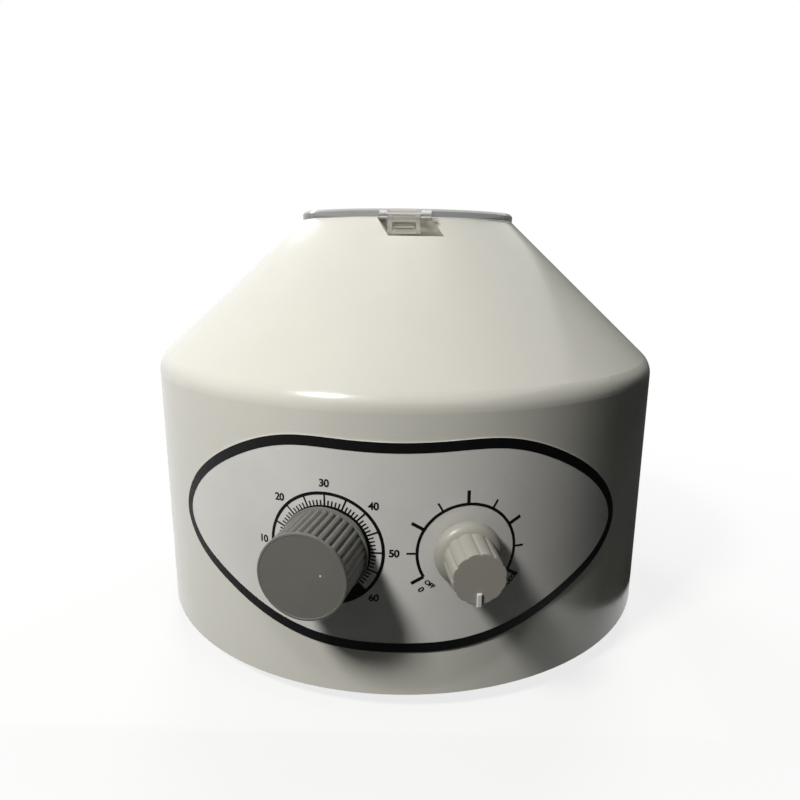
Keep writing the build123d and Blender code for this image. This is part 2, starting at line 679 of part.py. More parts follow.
def case_screws():
    """Eight screws of one kind: four hold the base plate, four the chamber bowl."""
    plate = [case_screw(0, PLATE_T, x, y) for x, y in around(CORNERS, POST_FIRST_DEG, POST_CIRCLE_R)]
    bowl = [case_screw(BOWL_RIM_Z - BOWL_T, BOWL_T, x, y)
            for x, y in around(CORNERS, FOOT_FIRST_DEG, BOWL_POST_CIRCLE_R)]
    return solids_of(plate + bowl)


# ---------- chamber ----------
def chamber_bowl():
    floor = BOWL_FLOOR_Z
    wall = BOWL_R + BOWL_T
    outline = Polyline((BOWL_HOLE_R, floor - BOWL_T), (wall, floor - BOWL_T), (wall, BOWL_RIM_Z - BOWL_T),
                       (BOWL_FLANGE_R, BOWL_RIM_Z - BOWL_T), (BOWL_FLANGE_R, BOWL_RIM_Z),
                       (BOWL_R, BOWL_RIM_Z), (BOWL_R, floor), (BOWL_HOLE_R, floor), close=True)
    face = make_face(outline)
    outer = [v for v in face.vertices() if abs(v.X - wall) < 0.01 and v.Y < floor]
    face = fillet(outer, BOWL_FILLET + BOWL_T)
    inner = [v for v in face.vertices() if abs(v.X - BOWL_R) < 0.01 and abs(v.Y - floor) < 0.01]
    face = fillet(inner, BOWL_FILLET)
    bowl = revolve(Plane.XZ * face, Axis.Z)
    return bowl - [rod(CASE_SCREW_R + SCREW_FIT, floor, BOWL_RIM_Z + BOWL_T, x, y)
                   for x, y in around(CORNERS, FOOT_FIRST_DEG, BOWL_POST_CIRCLE_R)]


def shaft_seal():
    """Rubber grommet in the bowl's floor round the turning collar."""
    low = BOWL_FLOOR_Z - BOWL_T - SEAL_T
    high = BOWL_FLOOR_Z + SEAL_T / 2
    lip = SHAFT_COLLAR_R + SEAL_LIP
    lap = BOWL_HOLE_R + SEAL_LAP
    return revolved([(lip, low), (lap, low), (lap, BOWL_FLOOR_Z - BOWL_T), (BOWL_HOLE_R, BOWL_FLOOR_Z - BOWL_T),
                     (BOWL_HOLE_R, BOWL_FLOOR_Z), (lap, BOWL_FLOOR_Z), (lap, high), (lip, high)])


# ---------- rotor ----------
def tube_plane(turn_deg=0.0):
    """Plane at the tube's tip: local Z runs up the tube's axis towards its mouth."""
    tilt = radians(TUBE_TILT)
    turn = radians(turn_deg)
    out = (cos(turn), sin(turn))
    up = (-cos(tilt) * out[0], -cos(tilt) * out[1], sin(tilt))
    return Plane(origin=(TUBE_TIP_R * out[0], TUBE_TIP_R * out[1], TUBE_TIP_Z),
                 x_dir=(-out[1], out[0], 0), z_dir=up)


def seat_height():
    """Where the sleeve's rim sits, measured up the tube's axis from the tip."""
    return SLEEVE_L - SLEEVE_TIP_GAP - SLEEVE_T


def rotor_head():
    """Dish square to the tubes, with a flat web and a hub for the shaft."""
    tilt = radians(TUBE_TILT)
    seat = seat_height() - COLLAR_H
    # middle of the dish's upper face on the tube's axis, as radius and height
    mid_r = TUBE_TIP_R - seat * cos(tilt)
    mid_z = TUBE_TIP_Z + seat * sin(tilt)
    rise = 1 / tan(tilt)
    outer_r = mid_r + HEAD_REACH * sin(tilt)
    outer_z = mid_z + HEAD_REACH * cos(tilt)
    thick = HEAD_T / sin(tilt)
    cone = revolved([(0, outer_z - outer_r * rise), (outer_r, outer_z),
                     (outer_r + cos(tilt) * HEAD_T, outer_z - sin(tilt) * HEAD_T),
                     (0, outer_z - outer_r * rise - thick)])
    web_z = BOWL_FLOOR_Z + WEB_OVER_FLOOR
    web_r = mid_r - (mid_z - web_z) / rise
    above_web = rod(outer_r + HEAD_T, web_z - HEAD_T, outer_z + HEAD_T)
    dish = (cone & above_web) + rod(max(web_r, HUB_R), web_z - HEAD_T, web_z)
    hub = rod(HUB_R, HUB_BOTTOM_Z, HUB_TOP_Z)
    seats = [tube_plane(360.0 * i / TUBES).location * Cylinder(COLLAR_R + COLLAR_FIT, 3 * TUBE_L)
             for i in range(TUBES)]
    return dish + hub - seats - rod(SHAFT_R + SHAFT_FIT, 0, RIM_Z)


def tube_collars():
    """Six turned collars pressed into the dish, one for each sleeve."""
    seat = seat_height() - COLLAR_H
    collar = tube(COLLAR_R, sleeve_r() + HEAD_FIT, seat - HEAD_T - COLLAR_DROP, seat_height())
    return solids_of([tube_plane(360.0 * i / TUBES).location * collar for i in range(TUBES)])


def sleeve_r():
    return TUBE_R + SLEEVE_FIT + SLEEVE_T


def tube_sleeve(index):
    """Metal sleeve with a round bottom and a rim that hangs in the rotor's collar."""
    bore = TUBE_R + SLEEVE_FIT
    outer = sleeve_r()
    low = -SLEEVE_TIP_GAP - SLEEVE_T
    top = seat_height() + SLEEVE_RIM_T
    skin = rod(outer, low + outer, seat_height()) + Pos(0, 0, low + outer) * Sphere(outer)
    skin += rod(SLEEVE_RIM_R, seat_height(), top)
    hollow = rod(bore, low + outer, top + 1) + Pos(0, 0, low + outer) * Sphere(bore)
    return tube_plane(360.0 * index / TUBES).location * (skin - hollow)


def motor_shaft():
    shoulder = HUB_TOP_Z - THREAD_SHOULDER
    shaft = rod(SHAFT_R, motor_floor() + SHAFT_END_GAP, shoulder)
    shaft += rod(SHAFT_THREAD_R, shoulder, HUB_TOP_Z + WASHER_T + NUT_H - NUT_CAP_T)
    return shaft + rod(SHAFT_COLLAR_R, HUB_BOTTOM_Z - SHAFT_COLLAR_H, HUB_BOTTOM_Z)


def rotor_washer():
    return tube(WASHER_R, SHAFT_THREAD_R + SHAFT_FIT, HUB_TOP_Z, HUB_TOP_Z + WASHER_T)


def rotor_nut():
    low = HUB_TOP_Z + WASHER_T
    nut = hexagon(NUT_R, low, low + NUT_H)
    nut = nut & revolved([(0, low), (NUT_R + 1, low), (NUT_R + 1, low + NUT_H - 4),
                          (NUT_R * 0.55, low + NUT_H), (0, low + NUT_H)])
    return nut - rod(SHAFT_THREAD_R + SHAFT_FIT, low - 1, low + NUT_H - NUT_CAP_T + SHAFT_FIT)


# ---------- motor ----------
def motor_floor():
    """Inner face of the motor can's bottom."""
    return PLATE_TOP_Z + CAN_T


def motor_dampers():
    """Rubber barrels that carry the arms of the motor plate."""
    mid = PLATE_T + DAMPER_H / 2
    half = DAMPER_H / 2
    band = half - DAMPER_BAND
    body = revolved([(0, mid - half), (DAMPER_R, mid - half), (DAMPER_R, mid - band), (DAMPER_WAIST_R, mid),
                     (DAMPER_R, mid + band), (DAMPER_R, mid + half), (0, mid + half)])
    barrel = body - rod(DAMPER_STUD_R + SCREW_FIT, 0, 30)
    return solids_of([Pos(x, y, 0) * barrel
                      for x, y in around(DAMPERS, DAMPER_FIRST_DEG, DAMPER_CIRCLE_R)])


def damper_studs():
    studs = []
    for x, y in around(DAMPERS, DAMPER_FIRST_DEG, DAMPER_CIRCLE_R):
        head = rod(FOOT_HEAD_R, -FOOT_HEAD_H, 0, x, y)
        studs.append(head + rod(DAMPER_STUD_R, 0, PLATE_TOP_Z + DAMPER_NUT_H + THREAD_PAST_NUT, x, y))
    return solids_of(studs)


def damper_nuts():
    nuts = []
    for x, y in around(DAMPERS, DAMPER_FIRST_DEG, DAMPER_CIRCLE_R):
        nut = hexagon(DAMPER_NUT_R, PLATE_TOP_Z, PLATE_TOP_Z + DAMPER_NUT_H, x, y)
        nuts.append(nut - rod(DAMPER_STUD_R + SCREW_FIT, 0, 90, x, y))
    return solids_of(nuts)


def motor_plate():
    low = PLATE_T + DAMPER_H
    plate = rod(MOTOR_PLATE_R, low, PLATE_TOP_Z)
    for x, y in around(DAMPERS, DAMPER_FIRST_DEG, DAMPER_CIRCLE_R):
        turn = degrees(atan2(y, x))
        arm = Rot(0, 0, turn) * block(0, DAMPER_CIRCLE_R, -MOTOR_ARM_W / 2, MOTOR_ARM_W / 2, low, PLATE_TOP_Z)
        plate += arm + rod(MOTOR_ARM_W / 2, low, PLATE_TOP_Z, x, y)
    return plate - [rod(DAMPER_STUD_R + SCREW_FIT, 0, 90, x, y)
                    for x, y in around(DAMPERS, DAMPER_FIRST_DEG, DAMPER_CIRCLE_R)]


def motor_can():
    can = rod(CAN_R, PLATE_TOP_Z, CAN_TOP_Z) - rod(CAN_R - CAN_T, motor_floor(), CAN_TOP_Z + 1)
    low, high = brush_z() - BRUSH_H / 2 - HOLDER_T, brush_z() + BRUSH_H / 2 + HOLDER_T
    half = BRUSH_W / 2 + HOLDER_T
    can -= block(-CAN_R - CAN_T, CAN_R + CAN_T, -half, half, low, high)
    vent_span = (CAN_TOP_Z - CAN_VENT_DROP - CAN_VENT_H, CAN_TOP_Z - CAN_VENT_DROP)
    for i in range(8):
        vent = block(CAN_R - 2 * CAN_T, CAN_R + 2 * CAN_T, -CAN_VENT_HALF, CAN_VENT_HALF, *vent_span)
        slot = Rot(0, 0, 22.5 + 45 * i) * vent
        can -= slot
    return can


def motor_end_bracket():
    bracket = rod(CAN_R, CAN_TOP_Z, CAN_TOP_Z + END_T)
    bracket += rod(CAN_R - CAN_T - SHAFT_FIT, CAN_TOP_Z - 2, CAN_TOP_Z) - rod(CAN_R - CAN_T - 3, 0, CAN_TOP_Z)
    bracket += rod(END_BOSS_R, CAN_TOP_Z + END_T, CAN_TOP_Z + END_T + END_BOSS_H)
    for i in range(6):
        hole = Rot(0, 0, 60 * i) * Pos(24, 0, CAN_TOP_Z) * Cylinder(6.5, 3 * END_T)
        bracket -= hole
    return bracket - rod(BUSH_R, CAN_TOP_Z - 5, CAN_TOP_Z + 30)


def upper_bearing():
    low = CAN_TOP_Z + END_T + END_BOSS_H - BUSH_H
    return tube(BUSH_R, SHAFT_R + BUSH_FIT, low, low + BUSH_H)


def lower_bearing():
    return tube(BUSH_R, SHAFT_R + BUSH_FIT, motor_floor(), motor_floor() + LOWER_BUSH_H)


def stator_low():
    return motor_floor() + STATOR_LOW


def stator_core():
    """Laminated ring with two pole shoes."""
    low, high = stator_low(), stator_low() + STATOR_H
    ring = tube(STATOR_R, STATOR_R - YOKE_T, low, high)
    for side in (0, 180):
        half = radians(POLE_ANGLE / 2)
        far = STATOR_R - YOKE_T + 1
        wedge = Polyline((0, 0), (2 * far * cos(half), 2 * far * sin(half)),
                         (2 * far * cos(half), -2 * far * sin(half)), close=True)
        sector = Pos(0, 0, low) * extrude(make_face(wedge), amount=STATOR_H)
        shoe = tube(STATOR_BORE_R + POLE_SHOE_T, STATOR_BORE_R, low, high) & sector
        neck = block(STATOR_BORE_R + POLE_SHOE_T / 2, far, -POLE_NECK_HALF, POLE_NECK_HALF, low, high)
        ring += Rot(0, 0, side) * (shoe + neck)
    return ring


def field_coils():
    """One wound coil round the neck of each pole."""
    low, high = stator_low(), stator_low() + STATOR_H
    inner = STATOR_BORE_R + POLE_SHOE_T + COIL_GAP
    outer = STATOR_R - YOKE_T - COIL_GAP
    half = POLE_NECK_HALF + COIL_GAP
    coils = []
    for side in (0, 180):
        body = block(inner, outer, -half - COIL_T, half + COIL_T, low - COIL_OVERHANG, high + COIL_OVERHANG)
        body = fillet(body.edges().filter_by(Axis.X), COIL_T / 2)
        room = tube(outer, inner, low - STATOR_H, high + STATOR_H)
        coil = (body & room) - block(0, STATOR_R, -half, half, low - COIL_GAP, high + COIL_GAP)
        coils.append(Rot(0, 0, side) * coil)
    return solids_of(coils)


def armature_core():
    low, high = stator_low(), stator_low() + STATOR_H
    core = tube(STATOR_BORE_R - AIR_GAP, SHAFT_R + SHAFT_FIT, low, high)
    for i in range(SLOTS):
        slot = block(STATOR_BORE_R - SLOT_DEPTH, STATOR_BORE_R + 5, -SLOT_W / 2, SLOT_W / 2, low, high)
        core -= Rot(0, 0, (i + 0.5) * 360 / SLOTS) * slot
    return core


def armature_winding():
    """End turns above and below the core, joined through its slots."""
    low, high = stator_low(), stator_low() + STATOR_H
    top_r = STATOR_BORE_R - AIR_GAP - 1.5
    winding = tube(top_r, SHAFT_R + 1.5, high, high + WINDING_OVERHANG)
    winding += tube(top_r, SHAFT_R + 1.5, low - WINDING_OVERHANG, low)
    half = SLOT_W / 2 - 0.1
    for i in range(SLOTS):
        bar = block(STATOR_BORE_R - SLOT_DEPTH + 0.1, top_r, -half, half, low - 1, high + 1)
        winding += Rot(0, 0, (i + 0.5) * 360 / SLOTS) * bar
    return winding


def commutator_top():
    return stator_low() - WINDING_OVERHANG - COMMUTATOR_GAP


def brush_z():
    return commutator_top() - COMMUTATOR_H / 2


def commutator():
    return tube(COMMUTATOR_R, SHAFT_R + SHAFT_FIT, commutator_top() - COMMUTATOR_H, commutator_top())


def brush_box(x0, x1, grow):
    half_w = BRUSH_W / 2 + grow
    half_h = BRUSH_H / 2 + grow
    return block(x0, x1, -half_w, half_w, brush_z() - half_h, brush_z() + half_h)


def carbon_brushes():
    near = COMMUTATOR_R + BRUSH_GAP
    brush = brush_box(near, near + BRUSH_L, 0)
    return solids_of([brush, Rot(0, 0, 180) * brush])


def brush_holders():
    """Brass guides with a cap, pushed through the side of the can."""
    near = COMMUTATOR_R + 3.0
    far = CAN_R + HOLDER_OUT
    guide = brush_box(near, far, HOLDER_T - 0.05) - brush_box(near - 1, far - 2, 0.05)
    return solids_of([guide, Rot(0, 0, 180) * guide])


def cooling_fan():
    low = stator_low() + STATOR_H + WINDING_OVERHANG + FAN_GAP
    fan = tube(FAN_HUB_R, SHAFT_R + SHAFT_FIT, low, low + FAN_H)
    fan += tube(FAN_R, SHAFT_R + SHAFT_FIT, low, low + FAN_DISC_T)
    for i in range(FAN_BLADES):
        blade = block(FAN_HUB_R - 1, FAN_R - 1, -0.8, 0.8, low, low + FAN_H)
        fan += Rot(0, 0, 360 * i / FAN_BLADES) * blade
    return fan


# ---------- timer ----------
def timer_case():
    low = -PAD_DEPTH - TIMER_D
    case = Pos(0, 0, low) * Box(TIMER_W, TIMER_H, TIMER_D, align=BOTTOM)
    case = fillet(case.edges().filter_by(Axis.Z), 3)
    case -= rod(TIMER_SHAFT_R + 1.0, -PAD_DEPTH - TIMER_SHAFT_IN - 1, 0)
    for x in (-TIMER_SCREW_X, TIMER_SCREW_X):
        case -= Pos(x, 0, -PAD_DEPTH - 6) * Cylinder(INLET_SCREW_R + SCREW_FIT, 20, align=BOTTOM)
    return on_panel(timer_plane(), case)


def timer_screws():
    screws = []
    for x in (-TIMER_SCREW_X, TIMER_SCREW_X):
        head = Pos(x, 0, -TIMER_HEAD_DEPTH) * Cylinder(INLET_SCREW_HEAD_R, TIMER_HEAD_H, align=BOTTOM)
        shank = Pos(x, 0, -TIMER_HEAD_DEPTH) * Cylinder(INLET_SCREW_R, PAD_DEPTH + 3, align=TOP)
        screws.append(on_panel(timer_plane(), head + shank))
    return solids_of(screws)


def control_shaft(radius, inside):
    """Shaft with a flat, from inside its case to the bottom of the knob's socket."""
    shaft = rod(radius, -PAD_DEPTH - inside, KNOB_GAP + KNOB_SOCKET)
    return shaft - shaft_flat(radius)


def shaft_flat(radius):
    """What is missing beside the flat of a shaft, and left standing in its knob's socket."""
    return block(-radius, radius, radius - SHAFT_FLAT, 2 * radius, KNOB_GAP + FLAT_START, 2 * TIMER_KNOB_TOP)


def timer_shaft():
    return on_panel(timer_plane(), control_shaft(TIMER_SHAFT_R, TIMER_SHAFT_IN))


def shaft_socket(radius):
    """D-shaped hole in a knob, for a shaft with a flat."""
    hole = rod(radius + SHAFT_FIT, 0, KNOB_GAP + KNOB_SOCKET + SHAFT_END_GAP)
    return hole - Pos(0, SHAFT_FIT, 0) * shaft_flat(radius)


def timer_knob():
    """Large knob with a flat face and narrow grooves all round."""
    body = Pos(0, 0, KNOB_GAP) * Cylinder(TIMER_KNOB_R, TIMER_KNOB_TOP - KNOB_GAP, align=BOTTOM)
    face_edge = body.edges().filter_by(GeomType.CIRCLE).sort_by(Axis.Z)[-1]
    body = fillet(face_edge, KNOB_EDGE)
    body += Pos(0, 0, KNOB_GAP) * Cylinder(TIMER_FLANGE_R, TIMER_FLANGE_T, align=BOTTOM)
    groove = Polyline((TIMER_KNOB_R - FLUTE_DEPTH, 0), (TIMER_KNOB_R + 0.5, FLUTE_W / 2 + 0.3),
                      (TIMER_KNOB_R + 0.5, -FLUTE_W / 2 - 0.3), close=True)
    low = KNOB_GAP + TIMER_FLANGE_T
    cutter = Pos(0, 0, low) * extrude(make_face(groove), amount=TIMER_KNOB_TOP)
    body -= [Rot(0, 0, (i + 0.5) * 360 / TIMER_FLUTES) * cutter for i in range(TIMER_FLUTES)]
    hollow = tube(TIMER_KNOB_R - 2.4, 6.0, KNOB_GAP - 1, TIMER_KNOB_TOP - 5)
    dimple = Pos(TIMER_KNOB_R * 0.38, 0, TIMER_KNOB_TOP) * Sphere(0.5)
    return on_panel(timer_plane(), body - hollow - dimple - shaft_socket(TIMER_SHAFT_R))


# ---------- speed control ----------
def speed_potentiometer():
    """Round resistor case with the mains switch behind it and a threaded bush in front."""
    case = Pos(0, 0, -PAD_DEPTH - POT_D) * Cylinder(POT_R, POT_D, align=BOTTOM)
    case += Pos(0, 0, -PAD_DEPTH - POT_D - SWITCH_D) * Cylinder(SWITCH_R, SWITCH_D, align=BOTTOM)
    case += Pos(0, 0, -PAD_DEPTH) * Cylinder(POT_BUSH_R, PAD_DEPTH + POT_BUSH_OUT, align=BOTTOM)
    case += block(-6, 6, -POT_R - 5, -POT_R + 3, -PAD_DEPTH - POT_D + 2, -PAD_DEPTH - POT_D + 3)
    case -= rod(POT_SHAFT_R + BUSH_FIT, -PAD_DEPTH - POT_SHAFT_IN - 1, PAD_DEPTH)
    return on_panel(speed_plane(), case)


def potentiometer_nut():
    nut = extrude(Pos(0, 0, -NUT_SEAT_DEPTH) * RegularPolygon(POT_NUT_R, 6), amount=POT_NUT_H)
    nut = nut & Pos(0, 0, -NUT_SEAT_DEPTH) * Cylinder(PANEL_CLEAR_R - 0.15, POT_NUT_H, align=BOTTOM)
    return on_panel(speed_plane(), nut - Cylinder(POT_BUSH_R + SCREW_FIT, 20))


def speed_shaft():
    return on_panel(speed_plane(), control_shaft(POT_SHAFT_R, POT_SHAFT_IN))


def lobed_outline(radius):
    """Ring of shallow lobes with a narrow notch between each two."""
    pitch = 2 * pi / SPEED_LOBES
    notch = 0.09 * pitch

    def at(r, angle):
        return (r * cos(angle), r * sin(angle))

    edges = []
    for i in range(SPEED_LOBES):
        start = i * pitch + notch
        end = (i + 1) * pitch - notch
        crown = at(radius + LOBE_CROWN, (start + end) / 2)
        edges.append(ThreePointArc(at(radius, start), crown, at(radius, end)))
        edges.append(Line(at(radius, end), at(radius - LOBE_GROOVE, end + notch)))
        edges.append(Line(at(radius - LOBE_GROOVE, end + notch), at(radius, end + 2 * notch)))
    return make_face(edges)


def speed_knob():
    """Skirted knob: a domed flange and a lobed cap that narrows towards its face."""
    high = KNOB_GAP + SPEED_SKIRT_H
    outline = make_face(
        Line((0, KNOB_GAP), (SPEED_SKIRT_R, KNOB_GAP))
        + Line((SPEED_SKIRT_R, KNOB_GAP), (SPEED_SKIRT_R, KNOB_GAP + 1.4))
        + ThreePointArc((SPEED_SKIRT_R, KNOB_GAP + 1.4), (SPEED_SKIRT_R - 1.0, KNOB_GAP + 3.6),
                        (SPEED_CAP_R - 0.5, high))
        + Line((SPEED_CAP_R - 0.5, high), (0, high))
        + Line((0, high), (0, KNOB_GAP)))
    skirt = revolve(Plane.XZ * outline, Axis.Z)
    bottom = Pos(0, 0, KNOB_GAP + 1.5) * lobed_outline(SPEED_CAP_R - LOBE_CROWN)
    top = Pos(0, 0, SPEED_KNOB_TOP) * lobed_outline(SPEED_FACE_R - LOBE_CROWN)
    knob = skirt + loft([bottom, top], ruled=True)
    hollow = tube(SPEED_CAP_R - 2.6, 5.4, KNOB_GAP - 1, SPEED_KNOB_TOP - 6)
    knob = knob - hollow - shaft_socket(POT_SHAFT_R) - pointer_bar(0.02)
    return on_panel(speed_plane(), knob)


def pointer_bar(grow=0.0):
    """White bar let into the knob's face, pointing straight down."""
    half = POINTER_W / 2 + grow
    low = SPEED_KNOB_TOP - 1.5 - grow
    bar = block(-half, half, -POINTER_OUT_R - grow, -POINTER_IN_R + grow, low, SPEED_KNOB_TOP + POINTER_H)
    if grow:
        return bar
    return fillet(bar.edges().group_by(Axis.Z)[-1], 0.35)


def speed_pointer():
    return on_panel(speed_plane(), pointer_bar())


# ---------- lid, latch, hinge ----------
def lid_bottom():
    return RIM_Z + LID_GAP


def latch_ear(x0, x1):
    """Eye of the lid's lug that carries the latch pin."""
    eye = Pos((x0 + x1) / 2, -LATCH_PIN_Y, LATCH_PIN_Z) * Rot(0, 90, 0) * Cylinder(LATCH_EYE_R, x1 - x0)
    back = -POCKET_FLOOR_Y - LUG_ROOM
    top = LATCH_PIN_Z + LATCH_EYE_R
    return eye + prism_x([(-LUG_OUT_Y, LUG_LOW_Z + LUG_ROOM), (-LUG_OUT_Y, LATCH_PIN_Z), (-LATCH_PIN_Y, top),
                          (back, top), (back, LUG_LOW_Z)], x0, x1)


def lug_web():
    """Slanting web of the lug that follows the pocket's left wall down beside the latch."""
    lean = POCKET_LEAN / (RIM_Z - POCKET_BOTTOM_Z)
    right = LATCH_LEFT - LATCH_SIDE_GAP
    low_left = LUG_LEFT + lean * (LUG_LOW_Z - LUG_WEB_LOW_Z)
    corners = [(LUG_LEFT, LUG_LOW_Z), (low_left, LUG_WEB_LOW_Z), (right, LUG_WEB_LOW_Z), (right, LUG_LOW_Z + 1)]
    corners.append((LUG_LEFT, LUG_LOW_Z + 1))
    face = Plane.XZ.offset(POCKET_FLOOR_Y + LUG_ROOM) * make_face(Polyline(*corners, close=True))
    return extrude(face, amount=LUG_WEB_T)


def lid_cover():
    """Clear round lid with a shallow crown, a ring below, a hinge knuckle and a latch lug."""
    low = lid_bottom()
    high = low + LID_T
    crown = ThreePointArc((0, high + LID_CROWN), (LID_R * 0.5, high + LID_CROWN * 0.75), (LID_R - 1.2, high))
    edge = Line((LID_R - 1.2, high), (LID_R, high - 1.2)) + Line((LID_R, high - 1.2), (LID_R, low))
    under = Line((LID_R, low), (0, low)) + Line((0, low), (0, high + LID_CROWN))
    disc = revolve(Plane.XZ * make_face(crown + edge + under), Axis.Z)
    ring_r = OPENING_R - LID_SKIRT_GAP
    disc += tube(ring_r, ring_r - LID_SKIRT_T, low - LID_SKIRT_H, low)
    tongue = prism_x([(OPENING_R, low), (HINGE_Y, low), (HINGE_Y, high - 0.4), (OPENING_R, high - 0.4)],
                     -HINGE_HALF_W, HINGE_HALF_W)
    knuckle = Pos(0, HINGE_Y, HINGE_Z) * Rot(0, 90, 0) * Cylinder(HINGE_EYE_R, 2 * HINGE_HALF_W)
    lid = disc + tongue + knuckle
    lid += block(LUG_LEFT, LUG_RIGHT, -POCKET_FLOOR_Y - 2.6, -OPENING_R, low, high - 0.6)
    lid += block(LUG_LEFT, LUG_RIGHT, -POCKET_FLOOR_Y - 2.6, -POCKET_FLOOR_Y - LUG_ROOM, LUG_LOW_Z, high - 0.6)
    lid += latch_ear(LUG_LEFT, LATCH_LEFT - LATCH_SIDE_GAP)
    lid += lug_web()
    lid += latch_ear(LATCH_RIGHT + LATCH_SIDE_GAP, LUG_RIGHT)
    room = LATCH_EYE_R + LATCH_SIDE_GAP
    barrel = Pos((LATCH_LEFT + LATCH_RIGHT) / 2, -LATCH_PIN_Y, LATCH_PIN_Z) * Rot(0, 90, 0)
    lid -= barrel * Cylinder(room, LATCH_RIGHT - LATCH_LEFT + 2 * LATCH_SIDE_GAP)
    lid -= Pos(0, -LATCH_PIN_Y, LATCH_PIN_Z) * Rot(0, 90, 0) * Cylinder(LATCH_PIN_R + SCREW_FIT / 2, 2 * EARS_HALF)
    return lid - Pos(0, HINGE_Y, HINGE_Z) * Rot(0, 90, 0) * Cylinder(HINGE_PIN_R + PIN_FIT, 2 * EARS_HALF)


def latch_clip():
    """Clear clip: an eye on the pin, two side ribs, a window and a bar that hooks under the catch."""
    eye = Pos((LATCH_LEFT + LATCH_RIGHT) / 2, -LATCH_PIN_Y, LATCH_PIN_Z) * Rot(0, 90, 0)
    clip = eye * Cylinder(LATCH_EYE_R, LATCH_RIGHT - LATCH_LEFT)
    rib = [(-LATCH_PIN_Y + LATCH_EYE_R, LATCH_PIN_Z), (-LATCH_BACK_Y, LATCH_BOTTOM_Z + 0.8),
           (-LATCH_BACK_Y - 0.8, LATCH_BOTTOM_Z), (-LATCH_FRONT_Y + 0.6, LATCH_BOTTOM_Z),
           (-LATCH_FRONT_Y, LATCH_BOTTOM_Z + 0.6), (-LATCH_PIN_Y - LATCH_EYE_R, LATCH_PIN_Z)]
    clip += prism_x(rib, LATCH_LEFT, LATCH_LEFT + LATCH_RIB_W)
    clip += prism_x(rib, LATCH_RIGHT - LATCH_RIB_W, LATCH_RIGHT)
    front = LATCH_FRONT_Y - LATCH_RIB_STEP
    clip += block(LATCH_LEFT, LATCH_RIGHT, -front, -front + LATCH_WEB_T, LATCH_WINDOW_TOP_Z, LATCH_PIN_Z)
    bar = [(-LATCH_BACK_Y, LATCH_BOTTOM_Z + 0.8), (-LATCH_BACK_Y - 0.8, LATCH_BOTTOM_Z),
           (-front, LATCH_BOTTOM_Z), (-front, LATCH_BOTTOM_Z + LATCH_BAR_H),
           (-LATCH_BACK_Y, LATCH_BOTTOM_Z + LATCH_BAR_H)]
    clip += prism_x(bar, LATCH_LEFT, LATCH_RIGHT)
    return clip - Pos(0, -LATCH_PIN_Y, LATCH_PIN_Z) * Rot(0, 90, 0) * Cylinder(LATCH_PIN_R + PIN_FIT, 60)


def latch_pin():
    middle = (LUG_LEFT + LUG_RIGHT) / 2
    return Pos(middle, -LATCH_PIN_Y, LATCH_PIN_Z) * Rot(0, 90, 0) * Cylinder(LATCH_PIN_R, LUG_RIGHT - LUG_LEFT)


def hinge_pin():
    half = HINGE_HALF_W + HINGE_SIDE_GAP + HINGE_EAR_W
    turn = Pos(0, HINGE_Y, HINGE_Z) * Rot(0, 90, 0)
    pin = turn * Cylinder(HINGE_PIN_R, 2 * half)
    for side in (-1, 1):
        head = turn * Cylinder(HINGE_PIN_HEAD_R, HINGE_PIN_HEAD_T)
        pin += Pos(side * (half + HINGE_PIN_HEAD_T / 2), 0, 0) * head
    return pin


# ---------- mains inlet ----------
def inlet_front():
    return INLET_FLAT_Y + INLET_FLANGE_T


def socket_z():
    return INLET_Z + SOCKET_UP


def drawer_z():
    return INLET_Z - DRAWER_DOWN


def inlet_housing():
    """Flanged inlet with a recessed socket above and a slot for the fuse drawer below."""
    back = INLET_FLAT_Y - INLET_BODY_D
    half_w = INLET_FLANGE_W / 2
    half_h = INLET_FLANGE_H / 2
    flange = block(-half_w, half_w, INLET_FLAT_Y, inlet_front(), INLET_Z - half_h, INLET_Z + half_h)
    flange = fillet(flange.edges().filter_by(Axis.Y), 4)
    half_w = INLET_BODY_W / 2
    half_h = INLET_BODY_H / 2
    body = flange + block(-half_w, half_w, back, INLET_FLAT_Y, INLET_Z - half_h, INLET_Z + half_h)
    cavity = block(-SOCKET_W / 2, SOCKET_W / 2, inlet_front() - SOCKET_D, inlet_front() + 1,
                   socket_z() - SOCKET_H / 2, socket_z() + SOCKET_H / 2)
    lower = [e for e in cavity.edges().filter_by(Axis.Y) if e.center().Z < socket_z()]
    cavity = chamfer(lower, SOCKET_CORNER)
    grow = DRAWER_FIT
    slot = block(-DRAWER_W / 2 - grow, DRAWER_W / 2 + grow, inlet_front() - DRAWER_D - grow, inlet_front() + 1,
                 drawer_z() - DRAWER_H / 2 - grow, drawer_z() + DRAWER_H / 2 + grow)
    contacts = [contact(i, SCREW_FIT) for i in (-1, 0, 1)]
    screws = [inlet_screw_rod(x, INLET_SCREW_R + SCREW_FIT, back, inlet_front() + 1)
              for x in (-INLET_SCREW_X, INLET_SCREW_X)]
    return body - cavity - slot - contacts - screws


def contact(index, grow=0.0):
    """Flat contact blade of the inlet; the middle one, earth, sits lower."""
    x = index * CONTACT_PITCH
    z = socket_z() + (1.5 if index else -2.5)
    back = INLET_FLAT_Y - INLET_BODY_D - CONTACT_TAIL
    return block(x - CONTACT_W / 2 - grow, x + CONTACT_W / 2 + grow, back,
                 inlet_front() - CONTACT_RECESS, z - CONTACT_H / 2 - grow, z + CONTACT_H / 2 + grow)


def inlet_contacts():
    return solids_of([contact(i) for i in (-1, 0, 1)])


def inlet_screws():
    screws = []
    for x in (-INLET_SCREW_X, INLET_SCREW_X):
        shank = inlet_screw_rod(x, INLET_SCREW_R, INLET_FLAT_Y - 2 * WALL, inlet_front())
        head = inlet_screw_rod(x, INLET_SCREW_HEAD_R, inlet_front(), inlet_front() + INLET_SCREW_HEAD_H)
        screws.append(shank + head)
    return solids_of(screws)


